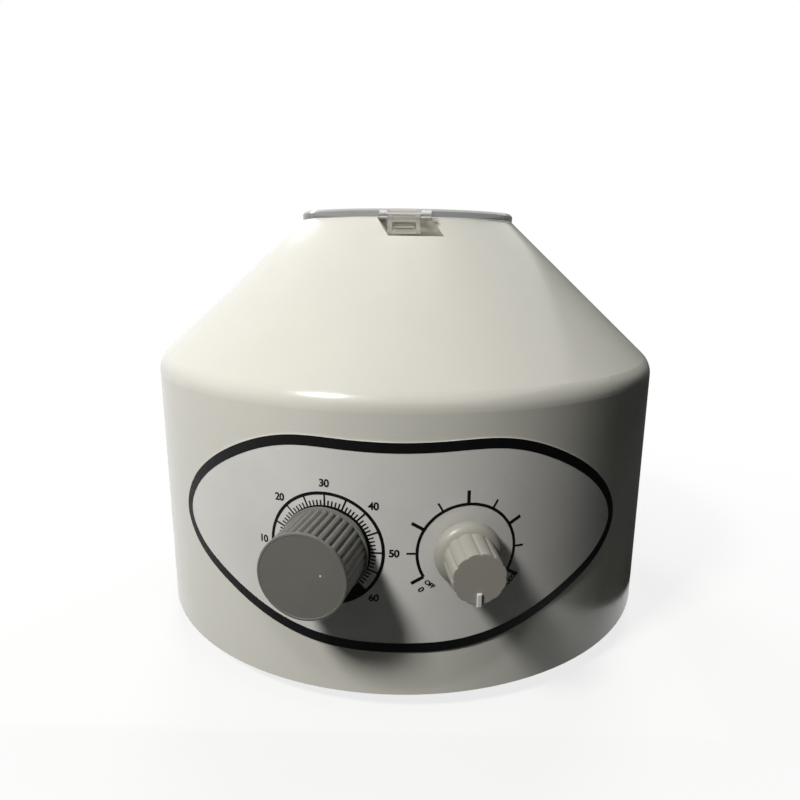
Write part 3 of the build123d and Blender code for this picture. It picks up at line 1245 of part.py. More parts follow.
def fuse_drawer():
    """Sliding tray for the fuse, with a thin lip to pull it by."""
    face = inlet_front() + DRAWER_LIP
    tray = block(-DRAWER_W / 2, DRAWER_W / 2, inlet_front() - DRAWER_D, face,
                 drawer_z() - DRAWER_H / 2, drawer_z() + DRAWER_H / 2)
    tray -= block(-FUSE_L / 2 - 1.5, FUSE_L / 2 + 1.5, inlet_front() - 12, inlet_front() - 5,
                  drawer_z() - FUSE_R - 0.3, drawer_z() + DRAWER_H)
    grip = block(-DRAWER_W / 2 + 4, DRAWER_W / 2 - 4, face - 0.6, face + 1,
                 drawer_z() - DRAWER_H / 2 - 1, drawer_z() - DRAWER_H / 2 + 2)
    return tray - grip


def fuse():
    middle = inlet_front() - 8.5
    return Pos(0, middle, drawer_z()) * Rot(0, 90, 0) * Cylinder(FUSE_R, FUSE_L)


# ---------- control board ----------
def board_corners():
    half_w = BOARD_W / 2 - STANDOFF_INSET
    half_l = BOARD_L / 2 - STANDOFF_INSET
    return [(BOARD_X + i * half_w, j * half_l) for i in (-1, 1) for j in (-1, 1)]


def board_bottom():
    return PLATE_T + STANDOFF_H


def board_top():
    return board_bottom() + BOARD_T


def board_standoffs():
    return solids_of([tube(STANDOFF_R, BOARD_SCREW_R + SCREW_FIT, PLATE_T, board_bottom(), x, y)
                      for x, y in board_corners()])


def board_screws():
    screws = []
    for x, y in board_corners():
        shank = rod(BOARD_SCREW_R, 0, board_top(), x, y)
        screws.append(shank + rod(BOARD_HEAD_R, board_top(), board_top() + BOARD_HEAD_H, x, y))
    return solids_of(screws)


def control_board():
    board = block(BOARD_X - BOARD_W / 2, BOARD_X + BOARD_W / 2, -BOARD_L / 2, BOARD_L / 2,
                  board_bottom(), board_top())
    return board - [rod(BOARD_SCREW_R + SCREW_FIT, 0, 60, x, y) for x, y in board_corners()]


def heat_sink():
    x0 = BOARD_X - SINK_W / 2
    y0 = -BOARD_L / 2 + 10
    sink = block(x0, x0 + SINK_W, y0, y0 + SINK_BACK_T, board_top(), board_top() + SINK_H)
    step = (SINK_W - SINK_FIN_T) / (SINK_FINS - 1)
    for i in range(SINK_FINS):
        x = x0 + i * step
        sink += block(x, x + SINK_FIN_T, y0, y0 + SINK_D, board_top(), board_top() + SINK_H)
    return sink


def filter_capacitor():
    box = block(BOARD_X - CAPACITOR_W / 2, BOARD_X + CAPACITOR_W / 2, -CAPACITOR_D / 2 + 4, CAPACITOR_D / 2 + 4,
                board_top(), board_top() + CAPACITOR_H)
    return fillet(box.edges().group_by(Axis.Z)[-1], 1.5)


def terminal_block():
    y0 = BOARD_L / 2 - 7 - TERMINAL_D
    box = block(BOARD_X - TERMINAL_W / 2, BOARD_X + TERMINAL_W / 2, y0, y0 + TERMINAL_D,
                board_top(), board_top() + TERMINAL_H)
    wells = [rod(1.8, board_top() + 4, board_top() + 20, BOARD_X + i * 7, y0 + TERMINAL_D / 2)
             for i in (-1.5, -0.5, 0.5, 1.5)]
    return box - wells


# ---------- assembly ----------
def front_reach():
    """Distance from the rotor's axis to the foremost point, on the timer knob's face."""
    turn = radians(-TIMER_DEG)
    return (wall_r(DIAL_Z) + PANEL_T + TIMER_KNOB_TOP) * cos(turn) + (TIMER_KNOB_R - KNOB_EDGE) * sin(turn)


def back_reach():
    """Distance from the rotor's axis to the rearmost point, on the inlet's screw heads."""
    return inlet_front() + max(INLET_SCREW_HEAD_H, DRAWER_LIP)


def rotor_axis_y():
    return (front_reach() - back_reach()) / 2


def assembly():
    nodes = {
        "housing_shell": housing_shell(),
        "control_overlay": control_overlay(),
        "base_plate": base_plate(),
        "case_screws": case_screws(),
        "rubber_feet": rubber_feet(),
        "foot_screws": foot_screws(),
        "foot_nuts": foot_nuts(),
        "chamber_bowl": chamber_bowl(),
        "shaft_seal": shaft_seal(),
        "motor_dampers": motor_dampers(),
        "motor_plate": motor_plate(),
        "damper_studs": damper_studs(),
        "damper_nuts": damper_nuts(),
        "motor_can": motor_can(),
        "motor_end_bracket": motor_end_bracket(),
        "upper_bearing": upper_bearing(),
        "lower_bearing": lower_bearing(),
        "stator_core": stator_core(),
        "field_coils": field_coils(),
        "brush_holders": brush_holders(),
        "carbon_brushes": carbon_brushes(),
        "timer_case": timer_case(),
        "timer_screws": timer_screws(),
        "speed_potentiometer": speed_potentiometer(),
        "potentiometer_nut": potentiometer_nut(),
        "hinge_pin": hinge_pin(),
        "inlet_housing": inlet_housing(),
        "inlet_contacts": inlet_contacts(),
        "inlet_screws": inlet_screws(),
        "control_board": control_board(),
        "board_standoffs": board_standoffs(),
        "board_screws": board_screws(),
        "heat_sink": heat_sink(),
        "filter_capacitor": filter_capacitor(),
        "terminal_block": terminal_block(),
        "motor_shaft": motor_shaft(),
        "armature_core": armature_core(),
        "armature_winding": armature_winding(),
        "commutator": commutator(),
        "cooling_fan": cooling_fan(),
        "rotor_head": rotor_head(),
        "tube_collars": tube_collars(),
        "rotor_washer": rotor_washer(),
        "rotor_nut": rotor_nut(),
        "timer_knob": timer_knob(),
        "timer_shaft": timer_shaft(),
        "speed_knob": speed_knob(),
        "speed_pointer": speed_pointer(),
        "speed_shaft": speed_shaft(),
        "lid_cover": lid_cover(),
        "latch_pin": latch_pin(),
        "latch_clip": latch_clip(),
        "fuse_drawer": fuse_drawer(),
        "fuse": fuse(),
    }
    for i in range(TUBES):
        nodes[f"tube_sleeve_{i + 1}"] = tube_sleeve(i)
    return nodes


def main():
    os.makedirs("parts", exist_ok=True)
    print("rotor axis at y", round(rotor_axis_y(), 3), "base plate at z", FOOT_H)
    for name, shape in assembly().items():
        placed = Pos(0, rotor_axis_y(), FOOT_H) * shape
        export_step(placed, os.path.join("parts", name + ".step"))
        print(name, round(placed.volume, 1))


main()
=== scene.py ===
# %% [markdown]
# # A bench centrifuge, dressed for a photograph
# The shapes that turn, slide and fasten already exist as a CAD model. This script loads that model as a
# fixed frame and gives it what a camera sees: printed ink, moulded plastic, clear plastic, metal and
# rubber. Everything is in metres and in the CAD model's own place, so nothing here has to be fitted
# afterwards.

# %% Load the CAD frame
import bpy
import json
import math
import numpy as np
from mathutils import Matrix, Vector


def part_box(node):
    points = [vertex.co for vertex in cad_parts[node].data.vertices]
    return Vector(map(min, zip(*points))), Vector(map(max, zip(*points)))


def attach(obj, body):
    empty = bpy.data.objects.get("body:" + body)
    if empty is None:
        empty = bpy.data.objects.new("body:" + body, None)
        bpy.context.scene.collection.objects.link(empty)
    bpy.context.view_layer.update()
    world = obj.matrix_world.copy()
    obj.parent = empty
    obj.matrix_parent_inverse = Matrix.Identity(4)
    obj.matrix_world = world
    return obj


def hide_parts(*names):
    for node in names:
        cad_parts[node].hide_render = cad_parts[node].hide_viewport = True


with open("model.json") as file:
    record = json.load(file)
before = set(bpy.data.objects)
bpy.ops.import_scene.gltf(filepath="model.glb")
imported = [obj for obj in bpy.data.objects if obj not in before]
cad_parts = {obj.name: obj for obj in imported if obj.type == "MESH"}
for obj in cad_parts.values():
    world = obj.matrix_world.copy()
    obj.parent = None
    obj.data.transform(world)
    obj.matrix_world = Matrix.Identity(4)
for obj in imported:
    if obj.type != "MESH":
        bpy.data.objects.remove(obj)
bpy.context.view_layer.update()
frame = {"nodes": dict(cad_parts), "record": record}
MM = 0.001

# %% [markdown]
# ## The few sizes that everything else follows
# The printed sheet lies on a round wall, so most of the artwork is placed by an angle round the rotor's
# axis and a height above the base plate. The wall leans in slightly towards the top, as a moulding has to.
# The axis itself isn't at the origin: the origin is under the middle of the whole machine.

# %% Driving sizes
plate_low, plate_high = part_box("base_plate")
AXIS_Y = (plate_low[1] + plate_high[1]) / 2
BASE_Z = plate_low[2]
WALL_R_LOW = 130.0 * MM
WALL_R_HIGH = 129.0 * MM
WALL_TOP_Z = 124.5 * MM
SHEET_T = 0.35 * MM
LABEL_R = 129.5 * MM
DIAL_Z = 63.9 * MM
TIMER_DEG = -12.4
SPEED_DEG = 12.5
print("rotor axis at y", round(AXIS_Y, 4), "base plate at z", round(BASE_Z, 4))

# %% [markdown]
# ## The camera
# A photograph taken from close by makes the front of an object look much bigger than its back, so the place
# of the camera matters more than the lens. This one stands about 36 cm in front of the rotor's axis, a
# little lower than the lid, and looks down by some fifteen degrees. The small shift says that the picture
# was cropped off centre.

# %% Camera
PICTURE = 800
SENSOR = 36.0
FOCAL_PX = 649.6
CAMERA_X = 9.87 * MM
CAMERA_DISTANCE = 361.2 * MM
CAMERA_HEIGHT = 179.3 * MM
CAMERA_YAW = math.radians(-0.86)
CAMERA_DOWN = math.radians(14.68)
CAMERA_ROLL = math.radians(0.71)
CENTRE_X_PX = 413.6
CENTRE_Y_PX = 417.9
NEAREST_SEEN = 10.0 * MM

forward = Vector((math.sin(CAMERA_YAW) * math.cos(CAMERA_DOWN),
                  math.cos(CAMERA_YAW) * math.cos(CAMERA_DOWN),
                  -math.sin(CAMERA_DOWN)))
level = forward.cross(Vector((0, 0, 1))).normalized()
above = level.cross(forward)
right = math.cos(CAMERA_ROLL) * level + math.sin(CAMERA_ROLL) * above
upward = -math.sin(CAMERA_ROLL) * level + math.cos(CAMERA_ROLL) * above

bpy.ops.object.select_all(action="DESELECT")
bpy.ops.object.camera_add()
camera = bpy.context.active_object
camera.name = "camera"
camera.data.sensor_width = SENSOR
camera.data.lens = FOCAL_PX * SENSOR / PICTURE
camera.data.shift_x = (PICTURE / 2 - CENTRE_X_PX) / PICTURE
camera.data.shift_y = (CENTRE_Y_PX - PICTURE / 2) / PICTURE
camera.data.clip_start = NEAREST_SEEN
axes = Matrix((right, upward, -forward)).transposed().to_4x4()
camera.matrix_world = Matrix.Translation((CAMERA_X, AXIS_Y - CAMERA_DISTANCE, BASE_Z + CAMERA_HEIGHT)) @ axes
bpy.context.scene.camera = camera
bpy.context.scene.view_settings.view_transform = "Standard"
print("lens", round(camera.data.lens, 2), "mm")

# %% [markdown]
# ## Floor and world
# The floor and the world are plain and pale. What the camera sees directly is close to white, while the
# light that falls on the machine is kept at an ordinary level, so that its colours come out about as they
# are written. A light path node tells the two apart: rays that show the background itself meet white paper,
# and rays that only carry light meet a dim surface, as a dark bench would be.

# %% Floor and world
FLOOR_SIZE = 6.0
PAPER_COLOUR = (0.86, 0.86, 0.85, 1)
BENCH_COLOUR = (0.10, 0.10, 0.095, 1)     # what the floor throws back at the machine
MATT = 0.9
WORLD_COLOUR = (0.95, 0.97, 1.0, 1)
WORLD_LIGHT = 0.055
WHITE = (1, 1, 1, 1)
PAPER_WHITE = 0.80          # share of plain white in the paper near the machine
FADE_FROM = 0.16            # from this far out the paper fades to plain white
FADE_TO = 0.42

bpy.ops.object.select_all(action="DESELECT")
bpy.ops.mesh.primitive_plane_add(size=FLOOR_SIZE, location=(0, 0, 0))
floor = bpy.context.active_object
floor.name = "floor"


def shown_or_lit(tree, shown, lit):
    """One surface for rays that show the background itself, and another for rays that only carry light."""
    light_path = tree.nodes.new("ShaderNodeLightPath")
    glossy = tree.nodes.new("ShaderNodeMath")
    glossy.operation = "MAXIMUM"
    through = tree.nodes.new("ShaderNodeMath")
    through.operation = "MAXIMUM"
    tree.links.new(light_path.outputs["Is Camera Ray"], glossy.inputs[0])
    tree.links.new(light_path.outputs["Is Glossy Ray"], glossy.inputs[1])
    tree.links.new(glossy.outputs[0], through.inputs[0])
    tree.links.new(light_path.outputs["Is Transmission Ray"], through.inputs[1])
    mix = tree.nodes.new("ShaderNodeMixShader")
    tree.links.new(through.outputs[0], mix.inputs[0])
    tree.links.new(lit.outputs[0], mix.inputs[1])
    tree.links.new(shown.outputs[0], mix.inputs[2])
    return mix


world = bpy.data.worlds.new("studio")
bpy.context.scene.world = world
world.use_nodes = True
world_tree = world.node_tree
background = world_tree.nodes["Background"]
background.inputs["Color"].default_value = WORLD_COLOUR
background.inputs["Strength"].default_value = WORLD_LIGHT
white_sky = world_tree.nodes.new("ShaderNodeBackground")
white_sky.inputs["Color"].default_value = WHITE
white_sky.inputs["Strength"].default_value = 1.0
world_mix = shown_or_lit(world_tree, white_sky, background)
world_tree.links.new(world_mix.outputs[0], world_tree.nodes["World Output"].inputs["Surface"])

floor_material = bpy.data.materials.new("floor_paper")
floor_material.use_nodes = True
floor_tree = floor_material.node_tree
paper = floor_tree.nodes["Principled BSDF"]
paper.inputs["Base Color"].default_value = PAPER_COLOUR
paper.inputs["Roughness"].default_value = MATT
bench = floor_tree.nodes.new("ShaderNodeBsdfDiffuse")
bench.inputs["Color"].default_value = BENCH_COLOUR

# the paper shows its own light and shadow near the machine and fades to plain white further out
floor_place = floor_tree.nodes.new("ShaderNodeTexCoord")
floor_reach = floor_tree.nodes.new("ShaderNodeVectorMath")
floor_reach.operation = "LENGTH"
floor_tree.links.new(floor_place.outputs["Object"], floor_reach.inputs[0])
floor_fade = floor_tree.nodes.new("ShaderNodeMapRange")
floor_fade.inputs["From Min"].default_value = FADE_FROM
floor_fade.inputs["From Max"].default_value = FADE_TO
floor_fade.inputs["To Min"].default_value = PAPER_WHITE
floor_fade.inputs["To Max"].default_value = 1.0
floor_tree.links.new(floor_reach.outputs["Value"], floor_fade.inputs["Value"])
plain_white = floor_tree.nodes.new("ShaderNodeEmission")
plain_white.inputs["Color"].default_value = WHITE
faded = floor_tree.nodes.new("ShaderNodeMixShader")
floor_tree.links.new(floor_fade.outputs["Result"], faded.inputs[0])
floor_tree.links.new(paper.outputs[0], faded.inputs[1])
floor_tree.links.new(plain_white.outputs[0], faded.inputs[2])
floor_mix = shown_or_lit(floor_tree, faded, bench)
floor_tree.links.new(floor_mix.outputs[0], floor_tree.nodes["Material Output"].inputs["Surface"])
floor.data.materials.append(floor_material)
print("floor and world ready")

# %% [markdown]
# ## Dark cards
# Shiny plastic shows what stands around it. In the photograph its right side falls almost to black, because
# a dark room stands there and not a white wall. Photographers make that with black cards just outside the
# picture, and so does this scene: they take light away from one side instead of adding more to the other.

# %% Dark cards
CARD_COLOUR = (0.012, 0.013, 0.012, 1)
CARD_TARGET = (0, AXIS_Y, 0.22)
# name, place, the point that the card faces, width and height
STANDING_CARDS = (
    ("card_right", (0.42, 0.0, 0.24), CARD_TARGET, 1.2, 0.5),
    ("card_back_right", (0.50, 0.65, 0.24), CARD_TARGET, 0.9, 0.5),
    ("card_behind_camera", (0.15, -1.00, 0.30), (0.05, AXIS_Y, 0.28), 1.5, 0.62),
)
# name, middle, width and depth of the cards that lie on the bench
LYING_CARDS = (
    ("card_bench", (0.16, -0.43), 0.90, 0.60),
    ("card_bench_right", (0.635, 0.40), 1.00, 1.12),
)
CARD_LIFT = 2.0 * MM

card_material = bpy.data.materials.new("black_card")
card_material.use_nodes = True
card_shader = card_material.node_tree.nodes["Principled BSDF"]
card_shader.inputs["Base Color"].default_value = CARD_COLOUR
card_shader.inputs["Roughness"].default_value = MATT


def dark_card(name, place, aim, width, height):
    """A black card that faces a point and is hidden from the camera itself."""
    bpy.ops.object.select_all(action="DESELECT")
    bpy.ops.mesh.primitive_plane_add(size=1.0, location=place)
    card = bpy.context.active_object
    card.name = name
    card.scale = (width, height, 1)
    card.rotation_euler = (Vector(aim) - Vector(place)).to_track_quat("-Z", "Y").to_euler()
    card.data.materials.append(card_material)
    card.visible_camera = False
    card.visible_shadow = False


for card_row in STANDING_CARDS:
    dark_card(*card_row)
for card_name, middle, width, depth in LYING_CARDS:
    dark_card(card_name, (*middle, CARD_LIFT), (*middle, 1.0), width, depth)

# %% [markdown]
# ## Lamps
# Each lamp is a soft square that looks at the machine, and the larger it is, the softer the edge of its
# shadows. The key lamp stands at the upper left, as in the photograph, where the knobs throw their shadows
# down to the right. Its power is kept low enough for pale plastic to stay below plain white. A weak lamp
# overhead adds to what faces up. The two at the back hardly reach what the camera sees: they are there so
# that the back of the machine shows its colour as well, and the right one is kept out of reflections, which
# the dark side would show.

# %% Lamps
TARGET = (0, AXIS_Y, 0.09)
LAMP_REACH = 1.25
TOP_LAMP_REACH = 1.20


def area_lamp(name, place, aim, size, power, colour=(1, 1, 1)):
    """A square soft lamp that looks at a point."""
    bpy.ops.object.select_all(action="DESELECT")
    bpy.ops.object.light_add(type="AREA", location=place)
    lamp = bpy.context.active_object
    lamp.name = name
    lamp.data.size = size
    lamp.data.energy = power
    lamp.data.color = colour
    direction = Vector(aim) - Vector(place)
    lamp.rotation_euler = direction.to_track_quat("-Z", "Y").to_euler()
    return lamp


def lamp_place(side_deg, rise_deg, reach):
    """Where a lamp stands: its direction round the machine from the front, its rise and its distance."""
    side, rise = math.radians(side_deg), math.radians(rise_deg)
    return (reach * math.cos(rise) * math.sin(side),
            AXIS_Y - reach * math.cos(rise) * math.cos(side),
            TARGET[2] + reach * math.sin(rise))


area_lamp("key_lamp", lamp_place(-40, 45, LAMP_REACH), TARGET, 0.20, 12.7, (1.0, 0.985, 0.95))
area_lamp("top_lamp", lamp_place(180, 78, TOP_LAMP_REACH), TARGET, 0.50, 0.9)
area_lamp("back_left_lamp", lamp_place(-155, 35, LAMP_REACH), TARGET, 0.35, 6.5, (0.97, 0.99, 1.0))
back_right = area_lamp("back_right_lamp", lamp_place(152, 38, LAMP_REACH), TARGET, 0.35, 8.0,
                       (1.0, 0.99, 0.97))
back_right.visible_glossy = False

# %% [markdown]
# ## Materials from one small kit
# Real plastic, paint and metal are never one flat colour. Each material here is the same few nodes: a slow
# noise that changes the colour a little, a second noise that makes some places shinier than others, and a
# fine bump. All of them read Object coordinates, so the pattern stays on the piece from every side.

# %% Material kit
NOISE_LOW = 0.3             # noise seldom goes below this or above the next
NOISE_HIGH = 0.7
ACRYLIC_IOR = 1.49
CLEAR_ROUGH = (0.06, 0.16)
FLOW_MARKS = 30.0           # marks per metre that the clear plastic left as it ran into its mould
SCUFFS = 140.0
RIPPLES = 220.0
RIPPLE_H = 0.03 * MM


def shader_of(name):
    """A new material, with its tree, its shader and Object coordinates."""
    material = bpy.data.materials.new(name)
    material.use_nodes = True
    tree = material.node_tree
    coordinates = tree.nodes.new("ShaderNodeTexCoord")
    return material, tree, tree.nodes["Principled BSDF"], coordinates.outputs["Object"]


def noise(tree, where, per_metre, detail=4.0, roughness=0.55, stretch=(1, 1, 1)):
    """Noise with its scale given in features per metre, drawn out along an axis where asked."""
    mapping = tree.nodes.new("ShaderNodeMapping")
    mapping.inputs["Scale"].default_value = stretch
    tree.links.new(where, mapping.inputs["Vector"])
    texture = tree.nodes.new("ShaderNodeTexNoise")
    texture.inputs["Scale"].default_value = per_metre
    texture.inputs["Detail"].default_value = detail
    texture.inputs["Roughness"].default_value = roughness
    tree.links.new(mapping.outputs[0], texture.inputs["Vector"])
    return texture.outputs["Fac"]


def spread(tree, value, low, high, start=NOISE_LOW, end=NOISE_HIGH):
    """Maps a value, such as a noise, to a range."""
    node = tree.nodes.new("ShaderNodeMapRange")
    node.inputs["From Min"].default_value = start
    node.inputs["From Max"].default_value = end
    node.inputs["To Min"].default_value = low
    node.inputs["To Max"].default_value = high
    tree.links.new(value, node.inputs["Value"])
    return node.outputs["Result"]


def two_tone(tree, value, first, second):
    """Goes from one colour to another with a noise value."""
    ramp = tree.nodes.new("ShaderNodeValToRGB")
    ramp.color_ramp.elements[0].position = NOISE_LOW
    ramp.color_ramp.elements[1].position = NOISE_HIGH
    ramp.color_ramp.elements[0].color = (*first, 1)
    ramp.color_ramp.elements[1].color = (*second, 1)
    tree.links.new(value, ramp.inputs["Fac"])
    return ramp.outputs["Color"]


def shaded(colour, share):
    """A colour made darker, or lighter, by a share of itself."""
    return tuple(channel * share for channel in colour)


def bumped(tree, shader, value, height):
    """Turns a value into bump of a real height in metres."""
    bump = tree.nodes.new("ShaderNodeBump")
    bump.inputs["Strength"].default_value = 1.0
    bump.inputs["Distance"].default_value = height
    tree.links.new(value, bump.inputs["Height"])
    tree.links.new(bump.outputs["Normal"], shader.inputs["Normal"])


def finish_of(name, colour, shade, rough, grain, height, metallic=0.0, stretch=(1, 1, 1), cloud=35.0):
    """One finish: slow colour change, patches of gloss three times as small, and a fine bump."""
    material, tree, shader, where = shader_of(name)
    slow = noise(tree, where, cloud, 3.0)
    tree.links.new(two_tone(tree, slow, shaded(colour, 1 - shade), colour), shader.inputs["Base Color"])
    patches = noise(tree, where, cloud * 3.1, 5.0, 0.6, stretch)
    tree.links.new(spread(tree, patches, *rough), shader.inputs["Roughness"])
    shader.inputs["Metallic"].default_value = metallic
    fine = noise(tree, where, grain, 2.0, 0.5, stretch)
    bumped(tree, shader, fine, height)
    return material


def clear_finish(name, colour, alpha):
    """Clear moulded plastic: it lets light through and shows faint flow marks and scuffs."""
    material, tree, shader, where = shader_of(name)
    shader.inputs["IOR"].default_value = ACRYLIC_IOR
    shader.inputs["Alpha"].default_value = alpha
    slow = noise(tree, where, FLOW_MARKS)
    tree.links.new(two_tone(tree, slow, shaded(colour, 0.94), colour), shader.inputs["Base Color"])
    scuffs = noise(tree, where, SCUFFS, 6.0, 0.65, (1, 1, 3))
    tree.links.new(spread(tree, scuffs, *CLEAR_ROUGH), shader.inputs["Roughness"])
    bumped(tree, shader, noise(tree, where, RIPPLES, 3.0), RIPPLE_H)
    return material


def lid_finish(name, clear, alpha, rim_shade, rim_alpha, rim_from, rim_to):
    """Clear plastic with painted shade on its rim, where light running inside the sheet is lost."""
    material = clear_finish(name, clear, alpha)
    tree = material.node_tree
    shader = tree.nodes["Principled BSDF"]
    where = tree.nodes.new("ShaderNodeTexCoord").outputs["Object"]
    from_axis = tree.nodes.new("ShaderNodeMapping")
    from_axis.inputs["Location"].default_value = (0, -AXIS_Y, 0)
    from_axis.inputs["Scale"].default_value = (1, 1, 0)
    tree.links.new(where, from_axis.inputs["Vector"])
    reach = tree.nodes.new("ShaderNodeVectorMath")
    reach.operation = "LENGTH"
    tree.links.new(from_axis.outputs[0], reach.inputs[0])
    inside = spread(tree, reach.outputs["Value"], 0.0, 1.0, rim_from, rim_to)
    outside = spread(tree, reach.outputs["Value"], 1.0, 0.0, rim_to + 0.2 * MM, rim_to + 0.8 * MM)
    both = tree.nodes.new("ShaderNodeMath")
    both.operation = "MULTIPLY"
    tree.links.new(inside, both.inputs[0])
    tree.links.new(outside, both.inputs[1])
    at_rim = both.outputs[0]
    mix = tree.nodes.new("ShaderNodeMix")
    mix.data_type = "RGBA"
    tree.links.new(at_rim, mix.inputs["Factor"])
    tree.links.new(shader.inputs["Base Color"].links[0].from_socket, mix.inputs["A"])
    # painted shade: the rim's dark grey stands in for the light lost at the sheet's edge
    grain = two_tone(tree, noise(tree, where, 60.0), rim_shade, shaded(rim_shade, 1.25))
    tree.links.new(grain, mix.inputs["B"])
    tree.links.new(mix.outputs["Result"], shader.inputs["Base Color"])
    tree.links.new(spread(tree, at_rim, alpha, rim_alpha, 0.0, 1.0), shader.inputs["Alpha"])
    return material


def turned_finish(name, colour, rough):
    """Bare metal from a lathe: fine rings round the rotor's axis, some duller than others."""
    material, tree, shader, where = shader_of(name)
    centred = tree.nodes.new("ShaderNodeMapping")
    centred.inputs["Location"].default_value = (0, -AXIS_Y, 0)
    tree.links.new(where, centred.inputs["Vector"])
    rings = tree.nodes.new("ShaderNodeTexWave")
    rings.wave_type = "RINGS"
    rings.rings_direction = "Z"
    rings.inputs["Scale"].default_value = 260.0
    rings.inputs["Distortion"].default_value = 2.5
    rings.inputs["Detail"].default_value = 3.0
    rings.inputs["Detail Scale"].default_value = 1.5
    tree.links.new(centred.outputs[0], rings.inputs["Vector"])
    gloss = spread(tree, rings.outputs["Fac"], *rough, 0.0, 1.0)
    tree.links.new(gloss, shader.inputs["Roughness"])
    clouds = noise(tree, where, 45.0, 3.0)
    tree.links.new(two_tone(tree, clouds, shaded(colour, 0.9), colour), shader.inputs["Base Color"])
    shader.inputs["Metallic"].default_value = 1.0
    bumped(tree, shader, rings.outputs["Fac"], 0.006 * MM)
    return material


# %% [markdown]
# ## One finish for each slot
# The CAD record names a material slot for every node, so painting the machine is one loop. Colours are
# written as the plastic looks in plain light. Three nodes get a finish of their own: the lid, whose rim is
# painted darker than its middle as painted shade, the latch, which is clearer because it is thin and is
# painted lighter than the other clear plastic as painted light, and the rotor's dish, which is bare
# aluminium straight from the lathe.

# %% Finishes, one for each slot of the CAD record
LID_RIM_W = 2.5 * MM
lid_low, lid_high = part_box("lid_cover")
LID_RIM_TO = (lid_high[0] - lid_low[0]) / 2
LID_RIM_FROM = LID_RIM_TO - LID_RIM_W

FINISHES = {
    "ivory_shell": finish_of("ivory_shell", (0.78, 0.77, 0.70), shade=0.03, rough=(0.16, 0.24),
                             grain=1500.0, height=0.006 * MM),
    "overlay_print": finish_of("overlay_print", (0.83, 0.82, 0.79), shade=0.06, rough=(0.26, 0.42),
                               grain=2500.0, height=0.004 * MM, cloud=48.0),
    "clear_plastic": clear_finish("clear_plastic", (0.66, 0.65, 0.62), alpha=0.34),
    "grey_knob": finish_of("grey_knob", (0.20, 0.198, 0.182), shade=0.08, rough=(0.38, 0.52),
                           grain=2200.0, height=0.01 * MM),
    "pale_knob": finish_of("pale_knob", (0.42, 0.405, 0.36), shade=0.05, rough=(0.34, 0.46),
                           grain=2200.0, height=0.01 * MM),
    "pointer_white": finish_of("pointer_white", (0.86, 0.86, 0.83), shade=0.03, rough=(0.3, 0.4),
                               grain=900.0, height=0.02 * MM),
    "black_plastic": finish_of("black_plastic", (0.02, 0.02, 0.022), shade=0.2, rough=(0.35, 0.5),
                               grain=1800.0, height=0.02 * MM),
    "rubber_black": finish_of("rubber_black", (0.018, 0.018, 0.018), shade=0.25, rough=(0.7, 0.85),
                              grain=1400.0, height=0.03 * MM),
    "zinc_steel": finish_of("zinc_steel", (0.62, 0.62, 0.60), shade=0.1, rough=(0.25, 0.42),
                            grain=1200.0, height=0.01 * MM, metallic=1.0),
    "bright_aluminium": finish_of("bright_aluminium", (0.76, 0.76, 0.77), shade=0.06, rough=(0.22, 0.36),
                                  grain=900.0, height=0.01 * MM, metallic=1.0, stretch=(1, 1, 9)),
    "painted_steel": finish_of("painted_steel", (0.16, 0.165, 0.17), shade=0.12, rough=(0.4, 0.55),
                               grain=1400.0, height=0.03 * MM),
    "lamination_steel": finish_of("lamination_steel", (0.22, 0.22, 0.24), shade=0.15, rough=(0.4, 0.6),
                                  grain=120.0, height=0.08 * MM, metallic=0.9, stretch=(0.2, 0.2, 14)),
    "copper_winding": finish_of("copper_winding", (0.55, 0.20, 0.07), shade=0.3, rough=(0.3, 0.45),
                                grain=160.0, height=0.3 * MM, metallic=0.8, stretch=(0.3, 0.3, 12)),
    "brass_turned": finish_of("brass_turned", (0.70, 0.52, 0.24), shade=0.1, rough=(0.2, 0.36),
                              grain=1000.0, height=0.01 * MM, metallic=1.0),
    "carbon": finish_of("carbon", (0.03, 0.03, 0.03), shade=0.3, rough=(0.6, 0.8),
                        grain=2000.0, height=0.04 * MM),
    "board_green": finish_of("board_green", (0.03, 0.16, 0.06), shade=0.2, rough=(0.3, 0.45),
                             grain=500.0, height=0.02 * MM),
    "fuse_glass": clear_finish("fuse_glass", (0.85, 0.9, 0.9), alpha=0.4),
}
OWN_FINISHES = {
    # painted shade: the lid's rim is painted dark grey and made less clear
    "lid_cover": lid_finish("lid_plastic_painted_rim_shade", (0.62, 0.62, 0.60), alpha=0.26, rim_shade=(0.135, 0.14, 0.135),
                            rim_alpha=0.78, rim_from=LID_RIM_FROM, rim_to=LID_RIM_TO),
    "rotor_head": turned_finish("turned_aluminium", (0.74, 0.74, 0.75), rough=(0.24, 0.42)),
    # painted light: the latch is a lighter copy of the clear plastic, for the pocket behind it in shade; its
    # lower alpha is because it is thin
    "latch_clip": clear_finish("latch_plastic_painted_light", (0.95, 0.91, 0.85), alpha=0.30),
}

for row in frame["record"]["subparts"]:
    node = frame["nodes"][row["node"]]
    node.data.materials.clear()
    node.data.materials.append(FINISHES[row["material_slot"]])
for node_name, finish in OWN_FINISHES.items():
    frame["nodes"][node_name].data.materials[0] = finish
print("finishes:", len(FINISHES), "on nodes:", len(frame["nodes"]))

# %% [markdown]
# ## Printed ink
# The control label on the real machine is a thin plastic sheet, printed flat and then stuck to the round
# wall. The artwork is made the same way here: each figure is drawn flat, with X along the sheet and Y up
# it, and is then wrapped round the wall a few hundredths of a millimetre above the sheet. An image texture
# would be quicker, but real ink stays sharp at any distance, and it comes out as a mesh of its own. Long
# shapes are cut every 2.5 mm before they are wrapped, so that they bend with the wall instead of cutting
# through it.

# %% Wrapping flat artwork round the wall
INK_LIFT = 0.035 * MM
INK_T = 0.02 * MM
CUT_STEP = 2.5 * MM
SAME_PLACE = 0.001 * MM     # corners closer than this are one corner


def wall_r(height):
    """Radius of the wall's outside at a height above the base plate."""
    return WALL_R_LOW + (WALL_R_HIGH - WALL_R_LOW) * height / WALL_TOP_Z


